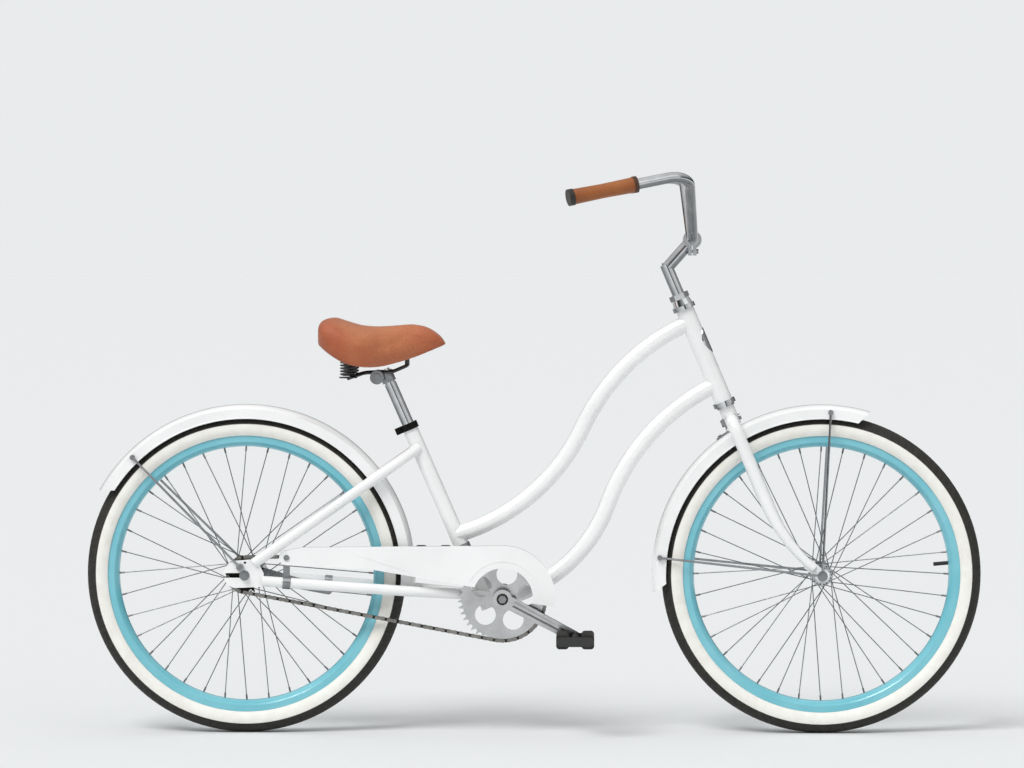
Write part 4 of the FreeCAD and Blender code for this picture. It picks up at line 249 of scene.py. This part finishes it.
def make_matt(name, shades, rough, grit, depth, ior):
    """Moulded rubber or plastic: a dull dark skin with a fine mould grain and clouds of dust."""
    material, tree, place, shader = new_finish(name)
    cloud = add(tree, "TexNoise", {}, {"Vector": place, "Scale": 1 / DUST_SIZE, "Detail": CLOUD_DETAIL})
    grain = add(tree, "TexNoise", {}, {"Vector": place, "Scale": 1 / grit, "Detail": MOULD_DETAIL})
    dulled = {"Value": grain, "To Min": rough, "To Max": rough + MOULD_SPREAD}
    feed(tree, shader, {
        "Base Color": add(tree, "ValToRGB", {"stops": zip(DUST_PLACES, shades)}, {"Fac": cloud}),
        "Roughness": add(tree, "MapRange", {}, dulled),
        "Normal": add(tree, "Bump", {}, {"Height": grain, "Distance": depth}),
        "IOR": ior})
    return material


def make_tyre(name, axle):
    """Vulcanised tyre: off-white walls with fine ridges up to a clean line, then dark tread cut by sipes."""
    material, tree, place, shader = new_finish(name)
    centred = add(tree, "Mapping", {}, {"Vector": place, "Location": [-c for c in axle]})
    axes = add(tree, "SeparateXYZ", {}, {"Vector": centred}).outputs
    flat = add(tree, "CombineXYZ", {}, {"X": axes["X"], "Z": axes["Z"]})
    radius = add(tree, "VectorMath", {"operation": "LENGTH"}, {0: flat})
    turn = add(tree, "Math", {"operation": "ARCTAN2"}, {0: axes["Z"], 1: axes["X"]})
    lean = add(tree, "Math", {"operation": "ABSOLUTE"}, {0: axes["Y"]})
    line = {"From Min": WHITEWALL_EDGE - LINE_SOFTNESS, "From Max": WHITEWALL_EDGE + LINE_SOFTNESS}
    tread = add(tree, "MapRange", {}, {"Value": radius, **line})
    cloud = add(tree, "TexNoise", {}, {"Vector": place, "Scale": 1 / DUST_SIZE, "Detail": CLOUD_DETAIL})
    cream = add(tree, "ValToRGB", {"stops": zip(SHADE_PLACES, ("#EEECE4", "#F6F5F0"))}, {"Fac": cloud})
    black = add(tree, "ValToRGB", {"stops": zip(SHADE_PLACES, ("#191814", "#2C2A25"))}, {"Fac": cloud})
    wall = add(tree, "Math", {"operation": "MULTIPLY"}, {0: radius, 1: 2 * math.pi / WALL_RIDGES})
    ridge = add(tree, "Math", {"operation": "SINE"}, {0: wall})
    heights = {"To Min": WALL_HEIGHTS[0], "To Max": WALL_HEIGHTS[1]}
    low_ridge = add(tree, "MapRange", {}, {"Value": ridge, **heights})
    slant = add(tree, "Math", {"operation": "MULTIPLY"}, {0: lean, 1: SIPE_SLANT})
    sipes = add(tree, "Math", {"operation": "MULTIPLY_ADD"}, {0: turn, 1: TREAD_SIPES, 2: slant})
    wave = add(tree, "Math", {"operation": "SINE"}, {0: sipes})
    flank = {"From Min": SIPE_FLANK[0], "From Max": SIPE_FLANK[1]}
    block = add(tree, "MapRange", {}, {"Value": wave, **flank})
    relief = add(tree, "Mix", {"data_type": "FLOAT"}, {0: tread, 2: low_ridge, 3: block})
    dulled = {"Value": cloud, "To Min": TYRE_ROUGH[0], "To Max": TYRE_ROUGH[1]}
    feed(tree, shader, {
        "Base Color": add(tree, "Mix", {"data_type": "RGBA"}, {0: tread, 6: cream, 7: black}),
        "Roughness": add(tree, "MapRange", {}, dulled),
        "Normal": add(tree, "Bump", {}, {"Height": relief, "Distance": SIPE_DEPTH}),
        "IOR": RUBBER_IOR})
    return material


def make_chain_steel(name, middle):
    """Oiled roller chain: outer plates wiped to bare steel, with dark oil between them round the rollers."""
    material, tree, place, shader = new_finish(name)
    side = add(tree, "SeparateXYZ", {}, {"Vector": place}).outputs["Y"]
    off = add(tree, "Math", {"operation": "SUBTRACT"}, {0: side, 1: middle})
    away = add(tree, "Math", {"operation": "ABSOLUTE"}, {0: off})
    line = {"From Min": OIL_REACH, "From Max": OIL_REACH + LINE_SOFTNESS}
    wiped = add(tree, "MapRange", {}, {"Value": away, **line})
    smear = add(tree, "TexNoise", {}, {"Vector": place, "Scale": 1 / HANDLING_SIZE, "Detail": SMEAR_DETAIL})
    plates = add(tree, "ValToRGB", {"stops": zip(SHADE_PLACES, ("#85837E", "#A6A49F"))}, {"Fac": smear})
    oil = add(tree, "ValToRGB", {"stops": zip(SHADE_PLACES, ("#2E2B27", "#4A4640"))}, {"Fac": smear})
    dulled = {"Value": smear, "To Min": CHAIN_ROUGH[0], "To Max": CHAIN_ROUGH[1]}
    feed(tree, shader, {
        "Base Color": add(tree, "Mix", {"data_type": "RGBA"}, {0: wiped, 6: oil, 7: plates}),
        "Metallic": 1.0,
        "Roughness": add(tree, "MapRange", {}, dulled)})
    return material


def make_grip_trim(name, inner):
    """Moulded grip ends: black caps at the outer ends, and a dark brown rolled edge towards the bar."""
    material, tree, place, shader = new_finish(name)
    along = add(tree, "SeparateXYZ", {}, {"Vector": place}).outputs["X"]
    rolled = add(tree, "MapRange", {}, {"Value": along, "From Min": inner - GRIP_EDGE, "From Max": inner})
    grain = add(tree, "TexNoise", {}, {"Vector": place, "Scale": 1 / STREAK_SIZE, "Detail": MOULD_DETAIL})
    cap = add(tree, "ValToRGB", {"stops": zip(SHADE_PLACES, ("#171511", "#2A271F"))}, {"Fac": grain})
    edge = add(tree, "ValToRGB", {"stops": zip(SHADE_PLACES, ("#3C2110", "#4E2E18"))}, {"Fac": grain})
    dulled = {"Value": grain, "To Min": TRIM_ROUGH[0], "To Max": TRIM_ROUGH[1]}
    feed(tree, shader, {
        "Base Color": add(tree, "Mix", {"data_type": "RGBA"}, {0: rolled, 6: cap, 7: edge}),
        "Roughness": add(tree, "MapRange", {}, dulled),
        "Normal": add(tree, "Bump", {}, {"Height": grain, "Distance": TRIM_GRAIN_DEPTH}),
        "IOR": POLYMER_IOR})
    return material


def make_leather(name, shades, low, high, grain_size, depth):
    """Grained leather: pebble cells with a painted shade in their creases, a painted shade darker below and at
    both ends, and a wax sheen.
    """
    material, tree, place, shader = new_finish(name)
    axes = add(tree, "SeparateXYZ", {}, {"Vector": place}).outputs
    # Painted shade: the leather is darker towards its bottom and towards both ends
    level = add(tree, "MapRange", {}, {"Value": axes["Z"], "From Min": low[2], "From Max": high[2]})
    off = add(tree, "Math", {"operation": "SUBTRACT"}, {0: axes["X"], 1: (low[0] + high[0]) / 2})
    away = add(tree, "Math", {"operation": "ABSOLUTE"}, {0: off})
    half = (high[0] - low[0]) / 2
    ends = add(tree, "MapRange", {}, {"Value": away, "From Min": half, "From Max": half * END_REACH})
    painted_low_end_shade = add(tree, "Mix", {"data_type": "FLOAT"}, {0: END_SHADE_SHARE, 2: level, 3: ends})
    cloud = add(tree, "TexNoise", {}, {"Vector": place, "Scale": 1 / HIDE_CLOUD_SIZE, "Detail": CLOUD_DETAIL})
    tone = add(tree, "Mix", {"data_type": "FLOAT"}, {0: CLOUD_SHARE, 2: painted_low_end_shade, 3: cloud})
    hide = add(tree, "ValToRGB", {"stops": zip(HIDE_PLACES, shades)}, {"Fac": tone})
    waves = {"Vector": place, "Scale": 1 / (STIR_SIZE * grain_size), "Detail": STREAK_DETAIL}
    stir = add(tree, "TexNoise", {}, waves).outputs["Color"]
    swayed = add(tree, "Mix", {"data_type": "VECTOR"}, {0: grain_size, 4: place, 5: stir})
    cells = {"Vector": swayed, "Scale": 1 / grain_size}
    crease = add(tree, "TexVoronoi", {"feature": "DISTANCE_TO_EDGE"}, cells)
    # Painted shade in the creases between the pebbles
    pebble = add(tree, "MapRange", {}, {"Value": crease, "From Max": CREASE_WIDTH})
    shaded = add(tree, "MapRange", {}, {"Value": pebble, "To Min": CREASE_SHADE, "To Max": 0.0})
    dulled = {"Value": pebble, "To Min": HIDE_ROUGH[0], "To Max": HIDE_ROUGH[1]}
    feed(tree, shader, {
        "Base Color": add(tree, "Mix", {"data_type": "RGBA"}, {0: shaded, 6: hide, 7: linear(shades[0])}),
        "Roughness": add(tree, "MapRange", {}, dulled),
        "Normal": add(tree, "Bump", {}, {"Height": pebble, "Distance": depth}),
        "Sheen Weight": SHEEN,
        "IOR": POLYMER_IOR})
    return material


# Enamels: baked colour under a clear coat, smooth with a faint peel, given by shades, roughness and peel
white_enamel = make_enamel("white_stoved_enamel", ("#F0F1F1", "#F8F8F8"), 0.2, 0.00004)
aqua_enamel = make_enamel("aqua_stoved_enamel", ("#6CBCCB", "#80C8D5"), 0.2, 0.00004)
black_enamel = make_enamel("black_stoved_enamel", ("#101010", "#1B1B1A"), 0.3, 0.00006)
# Metals: bright, with handling marks, given by shades, roughness, its spread, streak stretch, depth and the
# strength of painted shade on faces that look down
bright_chrome = make_metal("chromium_plate", ("#C9CCCF", "#E6E8EA"), 0.04, 0.06, 0.2, 0.00001, 0.7)
dull_chrome = make_metal("crank_nickel_plate", ("#C0C1C2", "#D6D6D7"), 0.14, 0.14, 0.2, 0.00002, 0.4)
zinc_plate = make_metal("zinc_plated_steel", ("#8E9093", "#ABADAF"), 0.28, 0.2, 1.0, 0.00003, 0.3)
polished_alloy = make_metal("polished_aluminium", ("#BFC1C3", "#D2D3D5"), 0.15, 0.2, 3.0, 0.00002, 0.4)
spoke_steel = make_metal("drawn_stainless_wire", ("#75777A", "#8D8F92"), 0.25, 0.15, 1.0, 0.00001, 0.15)
stay_steel = make_metal("bright_drawn_wire", ("#9A9C9F", "#B4B6B9"), 0.16, 0.12, 1.0, 0.00001, 0.25)
black_oxide = make_metal("black_oxide_steel", ("#1C1C1B", "#2B2A28"), 0.38, 0.2, 1.0, 0.00003, 0.2)
chain_low, chain_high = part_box("chain")
chain_steel = make_chain_steel("oiled_chain_steel", (chain_low.y + chain_high.y) / 2)
# Rubber and plastic: dull moulded skins, given by shades, roughness, grit, its depth and refraction
pedal_rubber = make_matt("moulded_black_rubber", ("#161512", "#2B2924"), 0.62, 0.0012, 0.00012, RUBBER_IOR)
tube_rubber = make_matt("butyl_rubber", ("#151515", "#202020"), 0.6, 0.002, 0.00005, RUBBER_IOR)
plastic_shades = ("#15130F", "#2A251C")
moulded_plastic = make_matt("moulded_black_plastic", plastic_shades, 0.45, 0.001, 0.00005, POLYMER_IOR)
# Leather: the grain's cells are drawn a little larger than life so that they show
saddle_shades = ("#8C3E1F", "#B86339", "#CD8556")
cushion_low, cushion_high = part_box("saddle_cushion")
saddle_leather = make_leather(
    "saddle_tan_leather", saddle_shades, cushion_low, cushion_high, grain_size=0.0028, depth=0.0003)
grip_low, grip_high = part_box("grips")
grip_shades = ("#7E3F12", "#9E581E", "#B26C2E")
grip_leather = make_leather(
    "grip_tan_leather", grip_shades, grip_low, grip_high, grain_size=0.0024, depth=0.00025)

finish_of_node = {
    "front_tyre": make_tyre("front_tyre_rubber", FRONT_AXLE),
    "rear_tyre": make_tyre("rear_tyre_rubber", REAR_AXLE),
    "seat_collar": black_oxide,
    "saddle_clamp": zinc_plate,
    "saddle_clamp_discs": zinc_plate,
    "grip_rings": make_grip_trim("grip_end_plastic", grip_high.x)}

finish_of_slot = {
    "white_paint": white_enamel,
    "aqua_paint": aqua_enamel,
    "tube_rubber": tube_rubber,
    "chrome": bright_chrome,
    "zinc_steel": zinc_plate,
    "polished_alloy": polished_alloy,
    "crank_chrome": dull_chrome,
    "spoke_wire": spoke_steel,
    "stay_wire": stay_steel,
    "chain_steel": chain_steel,
    "dark_steel": black_oxide,
    "black_paint": black_enamel,
    "pedal_steel": zinc_plate,
    "pedal_rubber": pedal_rubber,
    "brown_grip": grip_leather,
    "black_plastic": moulded_plastic,
    "brown_leather": saddle_leather}

for part in frame["record"]["subparts"]:
    piece = frame["nodes"][part["node"]]
    finish = finish_of_node.get(part["node"]) or finish_of_slot[part["material_slot"]]
    piece.data.materials.clear()
    piece.data.materials.append(finish)


def put_rings(name, points, material):
    """Mesh object from rows of points (rows, columns, 3): each row is a closed ring, joined to the next."""
    rows, columns, _ = points.shape
    index = np.arange(rows * columns).reshape(rows, columns)
    here = index[:-1]
    down = index[1:]
    quads = np.stack((here, np.roll(here, -1, 1), np.roll(down, -1, 1), down), -1)
    mesh = bpy.data.meshes.new(name)
    mesh.from_pydata(points.reshape(-1, 3), [], quads.reshape(-1, 4).tolist())
    mesh.materials.append(material)
    made = bpy.data.objects.new(name, mesh)
    bpy.context.scene.collection.objects.link(made)
    return made


def smooth_outward(made, merge):
    """Merges doubles, turns faces outwards and shades smooth."""
    shape = bmesh.new()
    shape.from_mesh(made.data)
    bmesh.ops.remove_doubles(shape, verts=shape.verts, dist=merge)
    bmesh.ops.recalc_face_normals(shape, faces=shape.faces)
    for face in shape.faces:
        face.smooth = True
    shape.to_mesh(made.data)
    shape.free()


def eased(shares, values, at):
    """Values between stations, by the cubic through them with slopes taken from each station's neighbours."""
    shares = np.array(shares)
    values = np.array(values)
    slopes = np.gradient(values, shares)
    k = np.clip(np.searchsorted(shares, at, side="right") - 1, 0, len(shares) - 2)
    width = shares[k + 1] - shares[k]
    t = (at - shares[k]) / width
    rise = values[k] * (1 + 2 * t) * (1 - t) ** 2 + values[k + 1] * (3 - 2 * t) * t ** 2
    return rise + width * (slopes[k] * t * (1 - t) ** 2 - slopes[k + 1] * (1 - t) * t ** 2)


def section_curve(half, top, bottom, hollow):
    """Saddle sections as (width, height) arrays: a half turn, with powers of its cosine and sine for sides
    and crown, drawn in below, then back under a roof that a power of the width flattens."""
    high = top - bottom
    roof = bottom + high * ROOF_SHARE * hollow
    inner = np.maximum(half * TUCK_SHARE - SKIRT_WALL, half * LEAST_INNER_SHARE)
    turn = np.linspace(0, np.pi, OUTER_POINTS)
    bulge = np.sign(np.cos(turn)) * np.abs(np.cos(turn)) ** SIDE_POWER
    rise = np.sin(turn) ** CROWN_POWER
    tuck = 1 - (1 - TUCK_SHARE) * (1 - rise) ** TUCK_POWER
    outer_w = half[:, None] * bulge * tuck
    outer_h = bottom[:, None] + high[:, None] * rise
    inside = np.linspace(-1, 1, INNER_POINTS)
    inner_w = inner[:, None] * np.sign(inside) * np.abs(inside) ** INNER_POWER
    inner_h = bottom[:, None] + (roof - bottom)[:, None] * (1 - np.abs(inside) ** ROOF_POWER)
    return np.concatenate((outer_w, inner_w), 1), np.concatenate((outer_h, inner_h), 1)


def make_saddle():
    """Saddle cover: sections from the back to the nose, each a crown with drawn-in sides over a hollow."""
    share = np.linspace(0, 1, STATION_COUNT)
    half = eased(STATION_SHARES, HALF_WIDTH_SHARES, share) * SADDLE_WIDTH / 2
    top = SADDLE_LOW + eased(STATION_SHARES, TOP_SHARES, share) * SADDLE_HEIGHT
    bottom = SADDLE_LOW + eased(STATION_SHARES, BOTTOM_SHARES, share) * SADDLE_HEIGHT
    from_back = np.clip((share - HOLLOW_SHARES[0]) / HOLLOW_EASE, 0, 1)
    from_nose = np.clip((HOLLOW_SHARES[1] - share) / HOLLOW_EASE, 0, 1)
    wide, tall = section_curve(half - SWELL_CAP, top - SWELL_CAP, bottom, from_back * from_nose)
    x = np.broadcast_to((SADDLE_BACK + share * SADDLE_LENGTH)[:, None], wide.shape)
    points = np.stack((x, wide, tall), -1)
    back = np.broadcast_to(points[0].mean(0) + END_INSET, points[0].shape)
    nose = np.broadcast_to(points[-1].mean(0) - END_INSET, points[0].shape)
    made = put_rings("saddle_cover", np.concatenate((back[None], points, nose[None])), saddle_leather)
    smooth_outward(made, SADDLE_MERGE)
    return made


def swell(made):
    """Blows a closed cover up as cloth under pressure, its underside held and each point's move capped."""
    scene = bpy.context.scene
    rest = np.empty((len(made.data.vertices), 3), np.float32)
    facing = np.empty_like(rest)
    made.data.vertices.foreach_get("co", rest.ravel())
    made.data.vertices.foreach_get("normal", facing.ravel())
    held = made.vertex_groups.new(name="underside")
    held.add(np.flatnonzero(facing[:, 2] < HELD_FACING).tolist(), 1.0, "REPLACE")
    cloth = made.modifiers.new("swell", "CLOTH")
    cloth.settings.vertex_group_mass = held.name
    cloth.settings.use_pressure = True
    cloth.settings.uniform_pressure_force = SWELL_PRESSURE
    cloth.settings.effector_weights.gravity = 0.0
    cloth.settings.quality = SWELL_QUALITY
    for step in range(1, SWELL_STEPS + 1):
        scene.frame_set(step)
    blown = made.evaluated_get(bpy.context.evaluated_depsgraph_get()).data
    moved = np.empty_like(rest)
    blown.vertices.foreach_get("co", moved.ravel())
    move = moved - rest
    reach = np.maximum(np.linalg.norm(move, axis=1, keepdims=True), LEAST_MOVE)
    placed = rest + move * np.minimum(1, SWELL_CAP / reach)
    made.modifiers.remove(cloth)
    made.vertex_groups.remove(held)
    made.data.vertices.foreach_set("co", placed.ravel())
    made.data.update()
    scene.frame_set(1)


def make_coil(centre, low, high):
    """Tube round a helix that rises evenly from low to high: upright rings on its path, closed at its ends."""
    t = np.linspace(0, 1, SPRING_TURNS * SPRING_POINTS_A_TURN + 1)
    angle = 2 * np.pi * SPRING_TURNS * t
    rise = low + SPRING_WIRE + (high - low - 2 * SPRING_WIRE) * t
    x = centre[0] + SPRING_MEAN * np.cos(angle)
    y = centre[1] + SPRING_MEAN * np.sin(angle)
    path = np.stack((x, y, rise), -1)
    outward = np.stack((np.cos(angle), np.sin(angle), np.zeros_like(angle)), -1)
    upward = np.zeros_like(path)
    upward[:, 2] = 1
    around = np.linspace(0, 2 * np.pi, SPRING_RING_POINTS, endpoint=False)
    ring = outward[:, None] * np.cos(around)[None, :, None] + upward[:, None] * np.sin(around)[None, :, None]
    tube = path[:, None] + SPRING_WIRE * ring
    first = np.broadcast_to(path[:1, None], tube[:1].shape)
    last = np.broadcast_to(path[-1:, None], tube[:1].shape)
    return np.concatenate((first, tube, last))


saddle_cover = make_saddle()
swell(saddle_cover)
smoothing = saddle_cover.modifiers.new("smoothing", "SUBSURF")
smoothing.levels = 1
smoothing.render_levels = 1
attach(saddle_cover, "saddle")
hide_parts("saddle_cushion")

spring_low, spring_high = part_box("saddle_springs")
spring_x = (spring_low.x + spring_high.x) / 2
for side, name in ((1, "left_coil_spring"), (-1, "right_coil_spring")):
    coil = make_coil((spring_x, side * SPRING_SPREAD), spring_low.z, spring_high.z)
    spring = put_rings(name, coil, black_enamel)
    smooth_outward(spring, SPRING_MERGE)
    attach(spring, "saddle")
    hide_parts("saddle_springs")

corners = [(x * FLOOR_SIZE, y * FLOOR_SIZE, 0) for x, y in ((-1, -1), (1, -1), (1, 1), (-1, 1))]
floor_mesh = bpy.data.meshes.new("floor")
floor_mesh.from_pydata(corners, [], [(0, 1, 2, 3)])
floor = bpy.data.objects.new("floor", floor_mesh)
bpy.context.scene.collection.objects.link(floor)
floor_paint, floor_tree, _, floor_shader = new_finish("pale_floor_paint")
feed(floor_tree, floor_shader, {"Base Color": linear(FLOOR_SHADE), "Roughness": FLOOR_ROUGH})
floor_mesh.materials.append(floor_paint)


def add_sun(name, place, strength, softness):
    """Far soft light from a place towards the origin, so that the whole floor is lit alike."""
    lamp = bpy.data.lights.new(name, "SUN")
    lamp.energy = strength
    lamp.angle = math.radians(softness)
    made = bpy.data.objects.new(name, lamp)
    made.rotation_mode = "QUATERNION"
    made.rotation_quaternion = (-Vector(place)).to_track_quat("-Z", "Y")
    bpy.context.scene.collection.objects.link(made)


add_sun("key_light", place=(-2.0, -2.6, 4.0), strength=2.0, softness=30)
add_sun("fill_light", place=(3.0, -3.0, 1.5), strength=0.35, softness=60)

# The sky lights the part by height, and the camera sees an even backdrop in the floor's own shade
world = bpy.data.worlds.new("studio")
bpy.context.scene.world = world
world.use_nodes = True
sky = world.node_tree
towards = add(sky, "TexCoord", {}, {}).outputs["Generated"]
height = add(sky, "SeparateXYZ", {}, {"Vector": towards}).outputs["Z"]
shade = add(sky, "ValToRGB", {"stops": SKY_STOPS}, {"Fac": height})
lighting = sky.nodes["Background"]
feed(sky, lighting, {"Color": shade, "Strength": SKY_STRENGTH})
backdrop = add(sky, "Background", {}, {"Color": linear(BACKDROP_SHADE), "Strength": 1.0})
seen = add(sky, "LightPath", {}, {}).outputs["Is Camera Ray"]
mixed = add(sky, "MixShader", {}, {0: seen, 1: lighting, 2: backdrop})
feed(sky, sky.nodes["World Output"], {"Surface": mixed})
bpy.context.scene.view_settings.view_transform = "Standard"

camera_data = bpy.data.cameras.new("camera")
camera_data.lens = LENS_MM
camera = bpy.data.objects.new("camera", camera_data)
camera.location = CAMERA_PLACE
camera.rotation_mode = "QUATERNION"
camera.rotation_quaternion = (CAMERA_AIM - CAMERA_PLACE).to_track_quat("-Z", "Y")
bpy.context.scene.collection.objects.link(camera)
bpy.context.scene.camera = camera

bpy.context.view_layer.update()
